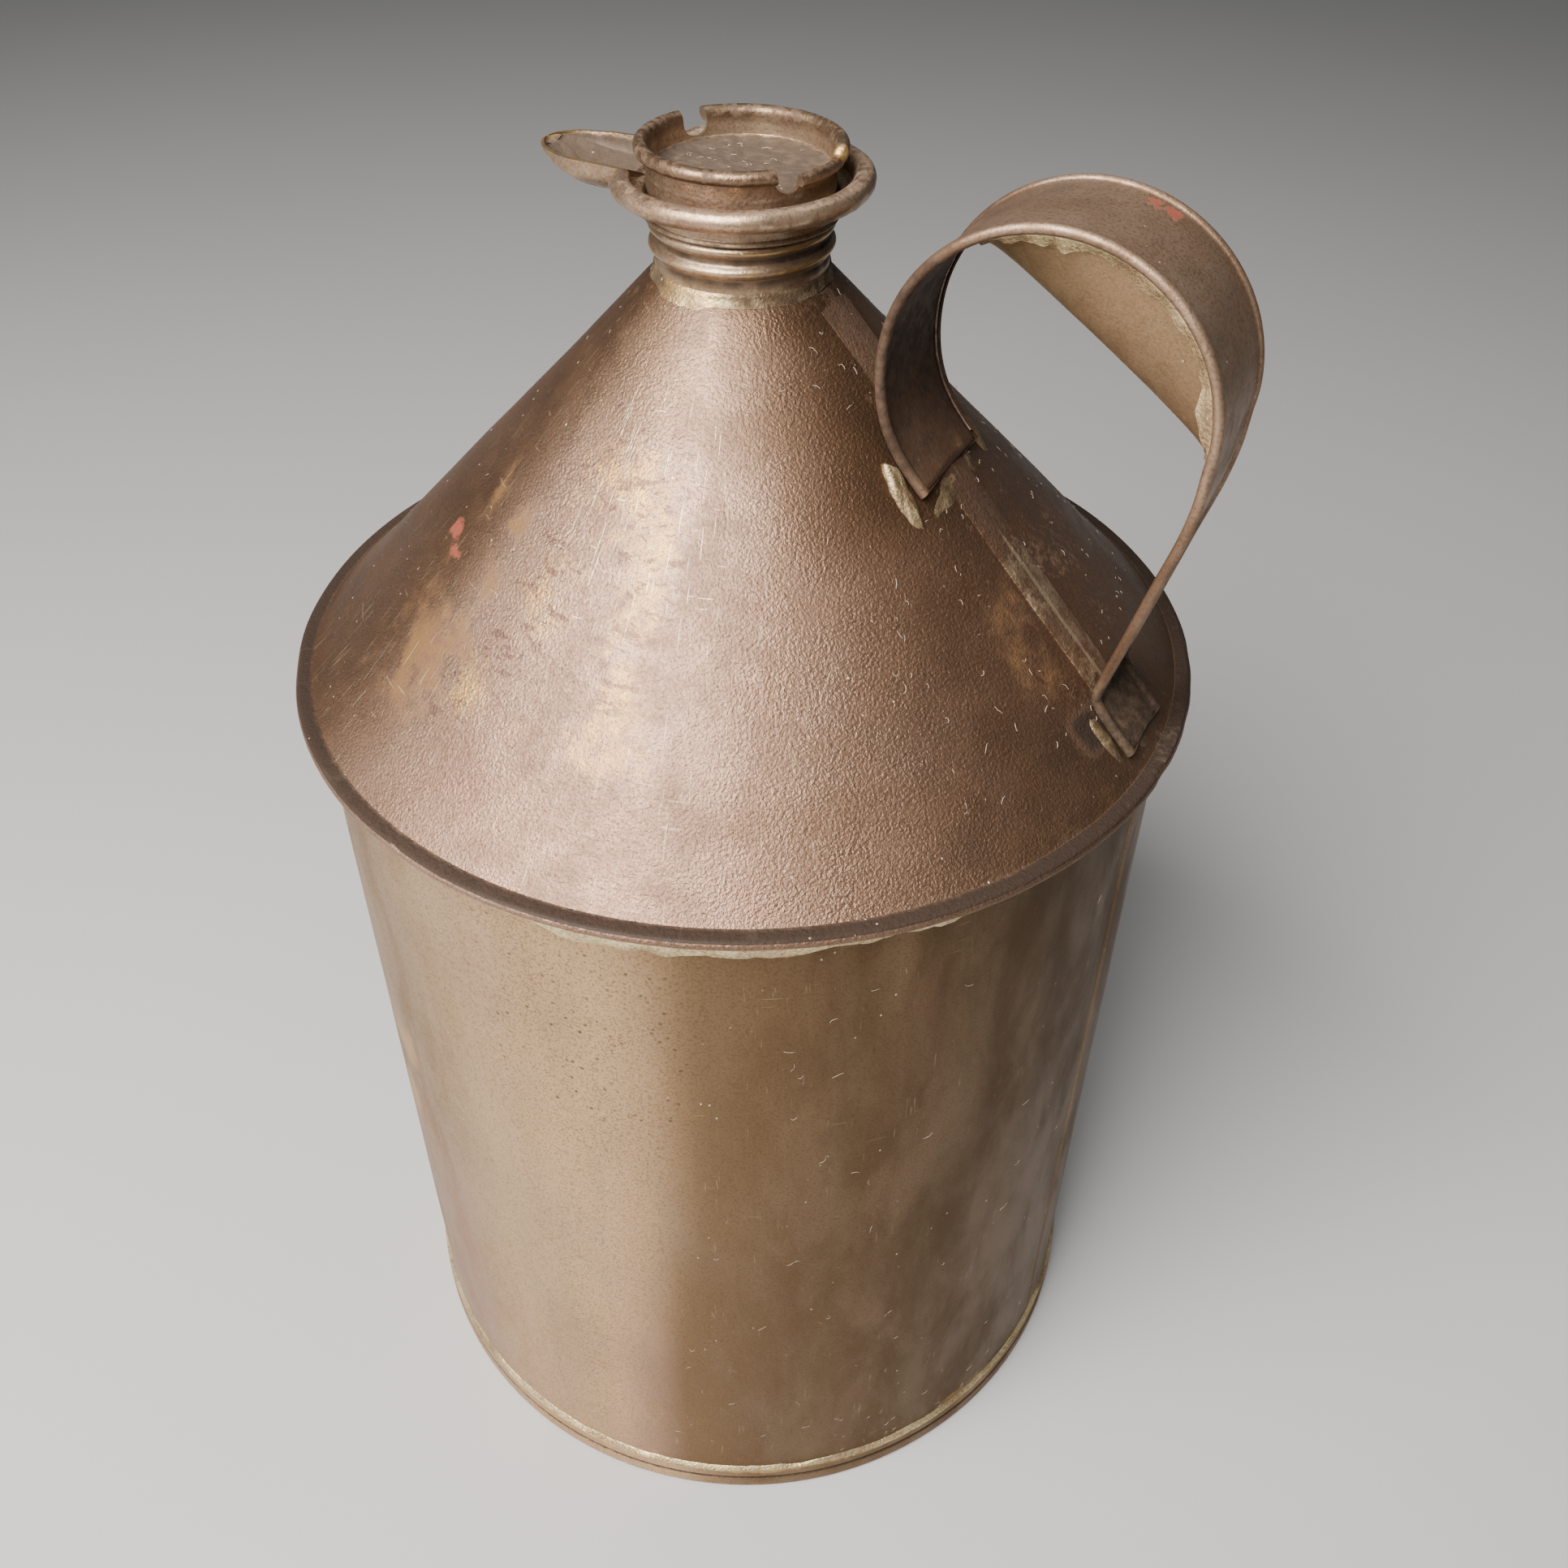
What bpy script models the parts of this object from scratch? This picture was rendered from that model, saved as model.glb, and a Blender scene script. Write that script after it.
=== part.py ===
"""A two-gallon sheet-metal liquid can: a cylinder with a conical top, a strap
handle with a hollow grip, a beaded neck with a drip ring and pouring lip, and
a screw cap.  The can stands on z = 0 with its axis on Z, the handle towards +X
and the pouring lip towards -X.  Lengths are in millimetres until add_object
scales them to metres."""

import math

import bmesh
import bpy
from mathutils import Vector

MM = 0.001

# Driving dimensions
SHOULDER_R = 109.6      # outer edge of the conical top
BODY_R = 104.6          # outside of the cylinder
SHEET = 0.7             # thickness of the sheet metal
GAP = 0.3               # air kept between neighbouring pieces
BODY_STEPS = 48         # facets round the big parts
NECK_STEPS = 32         # facets round the neck parts

# Shoulder, where the top is folded over the body's flange
LIP_BOTTOM_Z = 240.2
LIP_TOP_Z = 243.0
LIP_BEND_R = 1.45
FOLD_IN_R = 106.2       # how far the folded edge reaches in under the flange

# Conical top: straight slope from the neck to a narrow level rim
APEX_Z = 353.66
CONE_SLOPE = 1.0581     # drop per millimetre of radius
RIM_IN_R = (APEX_Z - LIP_TOP_Z) / CONE_SLOPE
CONE_HOLE_R = 19.5

# Base pan, whose rim wraps the foot of the body
PAN_R = 105.9
PAN_RIM_Z = 9.6
PAN_FLOOR_Z = 6.0
FOOT_WIDTH = 3.4

# Neck, drip ring and lip
NECK_R = 18.4
BEAD_R = 19.6
BEAD_ZS = (339.9, 344.1)
BEAD_HALF = 1.3
NECK_FOOT_Z = 329.0
MOUTH_Z = 349.0
RING_SKIRT_R = 19.6
RING_SKIRT_Z = 345.9
LIP_TIP_X = -48.0
LIP_ROOT_X = -22.6
LIP_RIM_Z = 353.3
LIP_HALF_WIDTH = 10.4

# Screw thread between the cap's plug and the ferrule in the neck
PITCH = 4.0
FERRULE_R = 17.3
FERRULE_BORE_R = 16.4
FERRULE_CREST_R = 15.2
FERRULE_Z = 337.0
PLUG_ROOT_R = 14.6
PLUG_CREST_R = 15.9
PLUG_BORE_R = 13.2
PLUG_Z = 338.4

# Cap
CAP_R = 19.5
CAP_RIM_R = 21.8
CAP_SHOULDER_Z = 350.6
CAP_FLOOR_Z = 354.2
CAP_TOP_Z = 360.4
NOTCH_WIDTH = 5.6
NOTCH_FLOOR_Z = 355.0
NOTCH_AZIMUTH = math.radians(149.5)

# Handle: a loop that lands on the cone and a leg down to the shoulder
LOOP_X = 72.9
LOOP_Z = 325.6
LOOP_R = 33.9
STRAP = 0.8             # strap thickness
STRAP_HALF = 13.9       # strap middle to the centre of its wired edge
FOOT_HALF = 9.2         # the same at the lower foot
CURL_R = 1.2            # outside of the curled edge
CURL_BORE_R = 0.85
WIRE_R = 0.5
FOOT_LIFT = 1.5         # strap middle above the cone at its feet
UPPER_FOOT_R = 49.5
LOWER_FOOT_R = 101.0
LEG_TOP = (104.9, 307.6)
LEG_BOTTOM = (92.7, 262.0)

# Grip: a rounded trough that closes the inside of the loop's upper right
GRIP_OFFSET = 11.4      # loop centre to the grip's straight underside
GRIP_HALF_WIDTH = 12.2
GRIP_DIRECTION = (0.8366, -0.5488)

# Lap seams
SEAM_HALF = 5.4
SEAM_RAISE = 0.5


# ---------------------------------------------------------------- helpers

def clear_scene():
    for thing in list(bpy.data.objects):
        bpy.data.objects.remove(thing, do_unlink=True)


def make_material(name, colour, roughness, metallic):
    material = bpy.data.materials.new(name)
    material.use_nodes = True
    shader = material.node_tree.nodes["Principled BSDF"]
    shader.inputs["Base Color"].default_value = (*colour, 1.0)
    shader.inputs["Roughness"].default_value = roughness
    shader.inputs["Metallic"].default_value = metallic
    return material


def add_object(name, bm, material):
    """Scales a millimetre mesh to metres and links it as one smooth object."""
    bmesh.ops.remove_doubles(bm, verts=bm.verts, dist=0.002)
    bmesh.ops.scale(bm, vec=(MM, MM, MM), verts=bm.verts)
    bmesh.ops.recalc_face_normals(bm, faces=bm.faces)
    mesh = bpy.data.meshes.new(name)
    bm.to_mesh(mesh)
    bm.free()
    mesh.shade_smooth()
    mesh.set_sharp_from_angle(angle=math.radians(40))
    mesh.materials.append(material)
    thing = bpy.data.objects.new(name, mesh)
    bpy.context.scene.collection.objects.link(thing)
    return thing


def spin_outline(outline, steps):
    """Turns a closed (radius, z) outline, or one that runs axis to axis, about Z."""
    bm = bmesh.new()
    verts = [bm.verts.new((r, 0.0, z)) for r, z in outline]
    on_axis = outline[0][0] == 0.0 and outline[-1][0] == 0.0
    pairs = zip(verts, verts[1:] if on_axis else verts[1:] + verts[:1])
    edges = [bm.edges.new(pair) for pair in pairs]
    bmesh.ops.spin(bm, geom=verts + edges, cent=(0, 0, 0), axis=(0, 0, 1),
                   angle=math.tau, steps=steps, use_merge=True)
    bmesh.ops.remove_doubles(bm, verts=bm.verts, dist=0.002)
    return bm


def unit(vector):
    return vector / vector.length


def sheet_outline(path, thickness):
    """The outline of a sheet of even thickness whose middle follows a path."""
    points = [Vector((p[0], p[1], 0.0)) for p in path]
    left, right = [], []
    for i, point in enumerate(points):
        before = unit(point - points[i - 1]) if i else None
        after = unit(points[i + 1] - point) if i + 1 < len(points) else None
        along = unit((before or after) + (after or before))
        side = Vector((-along.y, along.x, 0.0))
        if before and after:
            side /= max(0.5, side.dot(Vector((-after.y, after.x, 0.0))))
        left.append(point + side * thickness / 2)
        right.append(point - side * thickness / 2)
    return [(p.x, p.y) for p in left + right[::-1]]


def loft(sections, closed_ends=True):
    """Joins closed rings of points into a tube, with a face over each end."""
    bm = bmesh.new()
    rings = [[bm.verts.new(p) for p in section] for section in sections]
    for lower, upper in zip(rings, rings[1:]):
        for i in range(len(lower)):
            j = (i + 1) % len(lower)
            bm.faces.new((lower[i], lower[j], upper[j], upper[i]))
    if closed_ends:
        bm.faces.new(rings[0][::-1])
        bm.faces.new(rings[-1])
    return bm


def arc(centre, radius, start, end, count):
    """Points on an arc in a plane, angles in degrees."""
    points = []
    for i in range(count):
        angle = math.radians(start + (end - start) * i / (count - 1))
        points.append((centre[0] + radius * math.cos(angle),
                       centre[1] + radius * math.sin(angle)))
    return points


def cone_z(radius):
    """Height of the conical top's outer surface at a radius."""
    return max(LIP_TOP_Z, APEX_Z - CONE_SLOPE * radius)


def above_cone(radius, lift):
    """The (radius, z) point at a distance above the conical top."""
    slope = (cone_z(radius + 0.5) - cone_z(radius - 0.5))
    normal = unit(Vector((-slope, 1.0)))
    return radius + normal.x * lift, cone_z(radius) + normal.y * lift


def cone_point(x, y, lift):
    """A point over (x, y) at a height above the conical top."""
    return x, y, cone_z(math.hypot(x, y)) + lift


# ---------------------------------------------------------------- the can

def build_body_shell(material):
    """The cylinder, with a flange at its top and a raised lock seam at +X."""
    middle = BODY_R - SHEET / 2
    flange_z = LIP_BOTTOM_Z + SHEET + GAP + SHEET / 2
    path = [(middle, 2.4), (middle, 12.0), (middle, 14.0), (middle, 235.0),
            (middle, flange_z - 1.0), (middle + 1.0, flange_z),
            (SHOULDER_R - SHEET - GAP - 1.0, flange_z)]
    bm = spin_outline(sheet_outline(path, SHEET), BODY_STEPS)
    outer_seam = [v for v in bm.verts
                  if abs(v.co.y) < 0.1 and v.co.x > middle
                  and 13.0 < v.co.z < 236.0]
    for vert in outer_seam:
        vert.co.x += SEAM_RAISE
    return add_object("body_shell", bm, material)


def build_base_pan(material):
    """The bottom: a floor held up off the ground inside a rim."""
    inner = BODY_R + GAP
    rim_in = PAN_R - FOOT_WIDTH
    wall = BODY_R - SHEET - GAP
    outline = [(0.0, PAN_FLOOR_Z), (wall - 2.0, PAN_FLOOR_Z), (wall - 1.0, 5.0),
               (wall - 1.0, 2.0), (rim_in + 0.4, 0.0), (PAN_R - 0.5, 0.0),
               (PAN_R, 0.6), (PAN_R, PAN_RIM_Z), (inner, PAN_RIM_Z),
               (inner, 2.1), (wall, 2.1), (wall, PAN_FLOOR_Z + SHEET),
               (0.0, PAN_FLOOR_Z + SHEET)]
    bm = spin_outline(outline, BODY_STEPS)
    return add_object("base_pan", bm, material)


def build_base_solder(material):
    """The fillet of solder on top of the base pan's rim."""
    inner = BODY_R + GAP
    foot = PAN_RIM_Z + GAP
    outline = [(inner, foot), (PAN_R, foot), (inner, foot + 1.3)]
    return add_object("base_solder", spin_outline(outline, BODY_STEPS), material)


def cone_path():
    """Middle of the top's sheet, from the neck hole over the rim to its folded edge."""
    path = [above_cone(r, -SHEET / 2) for r in (CONE_HOLE_R, 62.0, RIM_IN_R - 1.0)]
    path.append((RIM_IN_R + 0.9, LIP_TOP_Z - SHEET / 2))
    bend = (SHOULDER_R - LIP_BEND_R, LIP_TOP_Z - LIP_BEND_R)
    path += arc(bend, LIP_BEND_R - SHEET / 2, 95, 0, 5)
    corner = LIP_BOTTOM_Z + SHEET / 2
    path += [(SHOULDER_R - SHEET / 2, corner), (FOLD_IN_R, corner)]
    return path


def build_cone_top(material):
    """The conical top, whose rim is folded down and in under the body's flange."""
    bm = spin_outline(sheet_outline(cone_path(), SHEET), BODY_STEPS)
    return add_object("cone_top", bm, material)


def build_shoulder_solder(material):
    """Solder run into the corner under the folded shoulder."""
    top = LIP_BOTTOM_Z - GAP
    outline = [(BODY_R + GAP, top), (BODY_R + GAP, top - 3.4), (BODY_R + 3.2, top)]
    bm = spin_outline(outline, BODY_STEPS)
    for vert in bm.verts:
        near_seam = abs(vert.co.y) < 0.1 and vert.co.x > 0.0
        if near_seam and vert.co.x < BODY_R + GAP + 0.1:
            vert.co.x += SEAM_RAISE
    return add_object("shoulder_solder", bm, material)


def build_cone_seam(material):
    """The lapped edge of the top's sheet, a strip that runs down under the handle."""
    sections = []
    for radius in (23.5, 45.0, 66.0, 86.0, 96.5):
        section = []
        for side in (-1.0, -0.5, 0.0, 0.5, 1.0):
            section.append(cone_point(radius, side * SEAM_HALF, GAP * 1.3))
        for side in (1.0, 0.5, 0.0, -0.5, -1.0):
            lift = (GAP * 1.3 + SEAM_RAISE) if abs(side) < 0.9 else GAP * 2
            section.append(cone_point(radius, side * SEAM_HALF, lift))
        sections.append(section)
    return add_object("cone_seam", loft(sections), material)


# ---------------------------------------------------------------- the neck

def build_neck_tube(material):
    """The sheet neck with two swaged beads, set into the cone's hole."""
    middle = NECK_R - SHEET / 2
    path = [(middle, NECK_FOOT_Z), (middle, BEAD_ZS[0] - BEAD_HALF)]
    for bead in BEAD_ZS:
        path += [(BEAD_R - SHEET / 2, bead - 0.5), (BEAD_R - SHEET / 2, bead + 0.5),
                 (middle, bead + BEAD_HALF)]
    path += [(middle + 0.3, RING_SKIRT_Z + 0.6), (middle + 0.3, MOUTH_Z)]
    bm = spin_outline(sheet_outline(path, SHEET), NECK_STEPS)
    return add_object("neck_tube", bm, material)


def build_neck_solder(material):
    """The fillet of solder between the neck and the cone."""
    inner = NECK_R + GAP
    outline = [(inner, cone_z(inner) + 1.7), (inner, cone_z(inner) + 0.5),
               (21.0, cone_z(21.0) + 0.5), (20.9, cone_z(20.9) + 0.8)]
    return add_object("neck_solder", spin_outline(outline, NECK_STEPS), material)


def thread_wave(angle, z, width):
    """1 on a right-hand helical ridge of the given width, 0 off it."""
    phase = (z / PITCH - angle / math.tau) % 1.0
    distance = min(phase, 1.0 - phase) * PITCH
    return max(0.0, min(1.0, (width / 2 + 0.35 - distance) / 0.35))


def threaded_rings(bm, base, crest, low, high, offset):
    """Rings of points up a threaded wall; the thread fades out at both ends."""
    rows = round((high - low) / (PITCH / 6))
    rings = []
    for row in range(rows + 1):
        z = low + (high - low) * row / rows
        fade = max(0.0, min(1.0, (z - low - 0.6), (high - 0.6 - z)))
        ring = []
        for step in range(NECK_STEPS):
            angle = math.tau * step / NECK_STEPS
            rise = fade * thread_wave(angle, z - low + offset, 0.5)
            radius = base + (crest - base) * rise
            ring.append(bm.verts.new((radius * math.cos(angle),
                                      radius * math.sin(angle), z)))
        rings.append(ring)
    return rings


def plain_ring(bm, radius, z):
    return [bm.verts.new((radius * math.cos(math.tau * s / NECK_STEPS),
                          radius * math.sin(math.tau * s / NECK_STEPS), z))
            for s in range(NECK_STEPS)]


def skin_rings(bm, rings, closed):
    """Faces between neighbouring rings, and from the last to the first if closed."""
    pairs = list(zip(rings, rings[1:])) + ([(rings[-1], rings[0])] if closed else [])
    for lower, upper in pairs:
        for i in range(NECK_STEPS):
            j = (i + 1) % NECK_STEPS
            bm.faces.new((lower[i], lower[j], upper[j], upper[i]))


def build_ferrule(material):
    """The threaded bush inside the neck."""
    bm = bmesh.new()
    rings = threaded_rings(bm, FERRULE_BORE_R, FERRULE_CREST_R,
                           FERRULE_Z, MOUTH_Z, 0.0)
    rings += [plain_ring(bm, FERRULE_R, MOUTH_Z), plain_ring(bm, FERRULE_R, FERRULE_Z)]
    skin_rings(bm, rings, closed=True)
    return add_object("neck_ferrule", bm, material)


def ring_path():
    """Middle of the drip ring's sheet, from its skirt to its turned-over rim."""
    skirt = RING_SKIRT_R - SHEET / 2 + GAP
    return [(skirt + 0.7, RING_SKIRT_Z), (skirt, RING_SKIRT_Z + 0.8),
            (skirt, MOUTH_Z - 0.2), (skirt + 0.7, MOUTH_Z + 0.8),
            (22.1, MOUTH_Z + 1.2), (22.6, MOUTH_Z + 2.2), (22.7, 353.7),
            (23.6, 354.4), (25.3, 354.2), (26.6, 353.3), (26.95, 352.2), (26.3, 351.3)]


def build_drip_ring(material):
    """The dish round the mouth, with its rim cut away where the lip starts."""
    bm = spin_outline(sheet_outline(ring_path(), SHEET), NECK_STEPS)
    ring = add_object("drip_ring", bm, material)
    cutter_mesh = bmesh.new()
    bmesh.ops.create_cube(cutter_mesh, size=1.0)
    half = LIP_HALF_WIDTH + GAP
    bmesh.ops.scale(cutter_mesh, vec=(10.0, 2 * half, 8.0), verts=cutter_mesh.verts)
    bmesh.ops.translate(cutter_mesh, vec=(LIP_ROOT_X + GAP - 5.0, 0.0, 352.4),
                        verts=cutter_mesh.verts)
    cutter = add_object("lip_cutter", cutter_mesh, material)
    cutter.hide_render = True
    cutter.display_type = "WIRE"
    cut = ring.modifiers.new("lip_opening", "BOOLEAN")
    cut.operation = "DIFFERENCE"
    cut.object = cutter
    return ring


def lip_half_width(t):
    """Half the lip's width from its root, t = 0, to its tip, t = 1."""
    return LIP_HALF_WIDTH * (1.0 - 0.2 * t) * math.sqrt(max(0.0, 1.0 - t**5))


def lip_depth(t):
    return 1.0 + 6.6 * (1.0 - t**3) * (0.85 + 0.15 * math.sin(math.pi * t))


def build_pour_lip(material):
    """The open spout: a trough with a rounded floor and a rounded tip."""
    across = 7
    sections = []
    for t in (0.0, 0.15, 0.3, 0.45, 0.6, 0.75, 0.87, 0.95, 0.985):
        x = LIP_ROOT_X + (LIP_TIP_X - LIP_ROOT_X) * t
        half, depth = lip_half_width(t), lip_depth(t)
        outer, inner = [], []
        for i in range(across):
            angle = math.pi * i / (across - 1)
            side, down = math.cos(angle), math.sin(angle) ** 0.7
            outer.append((x, side * half, LIP_RIM_Z - depth * down))
            inner.append((x, side * (half - SHEET), LIP_RIM_Z + 0.01
                          - (depth - SHEET) * down))
        sections.append(outer + inner[::-1])
    return add_object("pour_lip", loft(sections), material)


# ---------------------------------------------------------------- the cap

def build_screw_cap(material):
    """The cap: a shallow cup with a rolled rim over a hollow threaded plug."""
    bm = bmesh.new()
    rings = threaded_rings(bm, PLUG_ROOT_R, PLUG_CREST_R, PLUG_Z, 347.4,
                           PLUG_Z - FERRULE_Z + PITCH / 2)
    profile = [(PLUG_ROOT_R, CAP_SHOULDER_Z - 0.05), (CAP_R - 0.4, CAP_SHOULDER_Z),
               (CAP_R, CAP_SHOULDER_Z + 0.5), (CAP_R, 357.6), (20.8, 357.5),
               (CAP_RIM_R, 358.4), (CAP_RIM_R - 0.2, 359.6), (20.6, CAP_TOP_Z),
               (19.3, 359.9), (18.7, 358.9), (18.7, CAP_FLOOR_Z)]
    rings += [plain_ring(bm, r, z) for r, z in profile]
    rings += [plain_ring(bm, 2.0, CAP_FLOOR_Z)]
    lower = [plain_ring(bm, 2.0, CAP_FLOOR_Z - 1.0),
             plain_ring(bm, PLUG_BORE_R, CAP_FLOOR_Z - 1.0),
             plain_ring(bm, PLUG_BORE_R, PLUG_Z)]
    skin_rings(bm, rings, closed=False)
    skin_rings(bm, lower + [rings[0]], closed=False)
    bm.faces.new(rings[-1])
    bm.faces.new(lower[0][::-1])
    cap = add_object("screw_cap", bm, material)
    cut = cap.modifiers.new("spanner_notches", "BOOLEAN")
    cut.operation = "DIFFERENCE"
    cut.object = build_notch_cutter(material)
    return cap


def build_notch_cutter(material):
    """A round-bottomed bar right across the cap, which cuts two facing notches."""
    half = NOTCH_WIDTH / 2
    floor = arc((0.0, NOTCH_FLOOR_Z + half), half, 180, 360, 7)
    outline = [(-half, CAP_TOP_Z + 3.0)] + floor + [(half, CAP_TOP_Z + 3.0)]
    along = Vector((math.cos(NOTCH_AZIMUTH), math.sin(NOTCH_AZIMUTH), 0.0))
    across = Vector((-along.y, along.x, 0.0))
    sections = []
    for reach in (-25.0, 25.0):
        sections.append([along * reach + across * w + Vector((0, 0, z))
                         for w, z in outline])
    cutter = add_object("notch_cutter", loft(sections), material)
    cutter.hide_render = True
    cutter.display_type = "WIRE"
    return cutter


def build_gasket(material):
    """The leather washer that the cap presses on the mouth of the neck."""
    inner, outer = PLUG_ROOT_R + 0.4, NECK_R + 0.2
    low, high = MOUTH_Z + 0.35, CAP_SHOULDER_Z - 0.4
    outline = [(inner, low), (outer, low), (outer, high), (inner, high)]
    return add_object("cap_gasket", spin_outline(outline, NECK_STEPS), material)


# ---------------------------------------------------------------- the handle

def handle_path():
    """Stations up the strap: x, z, half width, and how far it hugs the cone."""
    stations = []
    for radius in (UPPER_FOOT_R, 48.0, 46.5):
        x, z = above_cone(radius, FOOT_LIFT)
        stations.append((x, z, STRAP_HALF, 1.0))
    stations += [(44.2, 309.5, STRAP_HALF, 0.85), (41.7, 313.3, STRAP_HALF, 0.6)]
    loop = arc((LOOP_X, LOOP_Z), LOOP_R, 193, -9, 22)
    for i, (x, z) in enumerate(loop):
        stations.append((x, z, STRAP_HALF, max(0.0, 0.35 - 0.12 * i)))
    top, bottom = Vector(LEG_TOP), Vector(LEG_BOTTOM)
    stations.append((105.9, 313.4, STRAP_HALF - 0.2, 0.0))
    for t in (0.0, 0.33, 0.66, 1.0):
        spot = top.lerp(bottom, t)
        stations.append((spot.x, spot.y, STRAP_HALF - 0.6 + (FOOT_HALF - STRAP_HALF + 0.6) * t, 0.0))
    stations += [(92.3, 260.2, FOOT_HALF, 0.3), (92.5, 258.7, FOOT_HALF, 0.6),
                 (93.4, 257.4, FOOT_HALF, 0.8)]
    for radius in (94.6, 97.5, LOWER_FOOT_R):
        x, z = above_cone(radius, FOOT_LIFT)
        stations.append((x, z, FOOT_HALF, 1.0))
    return stations


def place(station, outward, side, rise):
    """A point at a side distance and a rise off the strap's middle."""
    x, z, _, hug = station
    u, w = x + outward.x * rise, z + outward.y * rise
    drop = hug * (cone_z(x) - cone_z(math.hypot(x, side)))
    return u, side, w - drop


def strap_frames(stations):
    """Each station with the direction that points out of the loop there."""
    frames = []
    for i, station in enumerate(stations):
        before = stations[max(0, i - 1)]
        after = stations[min(len(stations) - 1, i + 1)]
        along = unit(Vector((after[0] - before[0], after[1] - before[1])))
        frames.append((station, Vector((-along.y, along.x))))
    return frames


def curl_outline(half):
    """Half of the strap's section: a flat sheet curled round a wire."""
    reach = math.sqrt(CURL_R**2 - (STRAP / 2) ** 2)
    outer = arc((half, 0.0), CURL_R, 160.5, -120, 8)
    inner = arc((half, 0.0), CURL_BORE_R, -120, 185, 6)
    upper = [(half * share, STRAP / 2) for share in (0.0, 0.3, 0.6)]
    lower = [(half * share, -STRAP / 2) for share in (0.6, 0.3, 0.0)]
    return upper + outer + inner + [(half - reach, -STRAP / 2)] + lower


def build_handle_strap(material):
    """The strap, with both of its edges curled round a wire."""
    sections = []
    for station, outward in strap_frames(handle_path()):
        right = curl_outline(station[2])
        left = [(-side, rise) for side, rise in right[::-1][1:-1]]
        sections.append([place(station, outward, s, r) for s, r in right + left])
    return add_object("handle_strap", loft(sections), material)


def build_handle_wire(name, side, material):
    """The wire inside one curled edge, a little shorter than the strap."""
    frames = strap_frames(handle_path())[1:-1]
    sections = []
    for station, outward in frames:
        circle = arc((side * station[2], 0.0), WIRE_R, 0, 300, 6)
        sections.append([place(station, outward, s, r) for s, r in circle])
    return add_object(name, loft(sections), material)


def grip_point(along, height, side):
    """A grip point: along its straight underside, up towards the loop, sideways."""
    direction = Vector(GRIP_DIRECTION)
    normal = Vector((-direction.y, direction.x))
    spot = Vector((LOOP_X, LOOP_Z)) + direction * along + normal * (GRIP_OFFSET + height)
    return spot.x, side, spot.y


def build_hand_grip(material):
    """A rounded trough that closes the loop from one edge to the other."""
    inner_r = LOOP_R - STRAP / 2 - GAP - 0.1
    reach = math.sqrt(inner_r**2 - GRIP_OFFSET**2) - 2.2
    across = 9
    sections = []
    for i in range(13):
        along = reach * math.sin(math.pi * (i / 12 - 0.5))
        depth = math.sqrt(inner_r**2 - along**2) - GRIP_OFFSET
        outer, inner = [], []
        for j in range(across):
            share = 2.0 * j / (across - 1) - 1.0
            rise = abs(share) ** 2.3
            outer.append(grip_point(along, depth * rise, share * GRIP_HALF_WIDTH))
            inner.append(grip_point(along, SHEET + (depth - SHEET) * rise,
                                    share * (GRIP_HALF_WIDTH - SHEET)))
        sections.append(outer + inner[::-1])
    return add_object("hand_grip", loft(sections), material)


def build_grip_solder(name, side, material):
    """Solder along one edge of the grip, in the corner under the strap."""
    inner_r = LOOP_R - CURL_R - GAP
    low = side * (GRIP_HALF_WIDTH + GAP)
    high = side * (GRIP_HALF_WIDTH + 1.7)
    middle = math.degrees(math.atan2(-GRIP_DIRECTION[1], GRIP_DIRECTION[0]))
    sections = []
    for i in range(13):
        angle = math.radians(90 - middle - 58 + 116 * i / 12)
        out = Vector((math.cos(angle), math.sin(angle)))
        section = []
        for radius, v in ((inner_r, low), (inner_r, high),
                          (inner_r - 0.6, high), (inner_r - 1.8, low)):
            section.append((LOOP_X + out.x * radius, v, LOOP_Z + out.y * radius))
        sections.append(section)
    return add_object(name, loft(sections), material)


def build_solder_dome(name, centre, length, width, height, material):
    """A lump of solder that lies on the cone beside one edge of a strap foot."""
    bm = bmesh.new()
    steps, rings = 12, 3
    top = bm.verts.new(cone_point(*centre, GAP + 0.2 + height))
    bottom = bm.verts.new(cone_point(*centre, GAP + 0.2))
    layers = []
    for lift_on in (True, False):
        for k in range(1, rings + 1):
            share = k / rings
            lift = GAP + 0.2 + (height * math.sqrt(1.0 - (share * 0.98) ** 2) if lift_on else 0.0)
            ring = []
            for s in range(steps):
                angle = math.tau * s / steps
                ring.append(bm.verts.new(cone_point(
                    centre[0] + share * length / 2 * math.cos(angle),
                    centre[1] + share * width / 2 * math.sin(angle), lift)))
            layers.append(ring)
    upper, lower = layers[:rings], layers[rings:]
    chain = upper + lower[::-1]
    for a, b in zip(chain, chain[1:]):
        for i in range(steps):
            j = (i + 1) % steps
            bm.faces.new((a[i], a[j], b[j], b[i]))
    for i in range(steps):
        j = (i + 1) % steps
        bm.faces.new((top, upper[0][j], upper[0][i]))
        bm.faces.new((bottom, lower[0][i], lower[0][j]))
    return add_object(name, bm, material)


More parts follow.
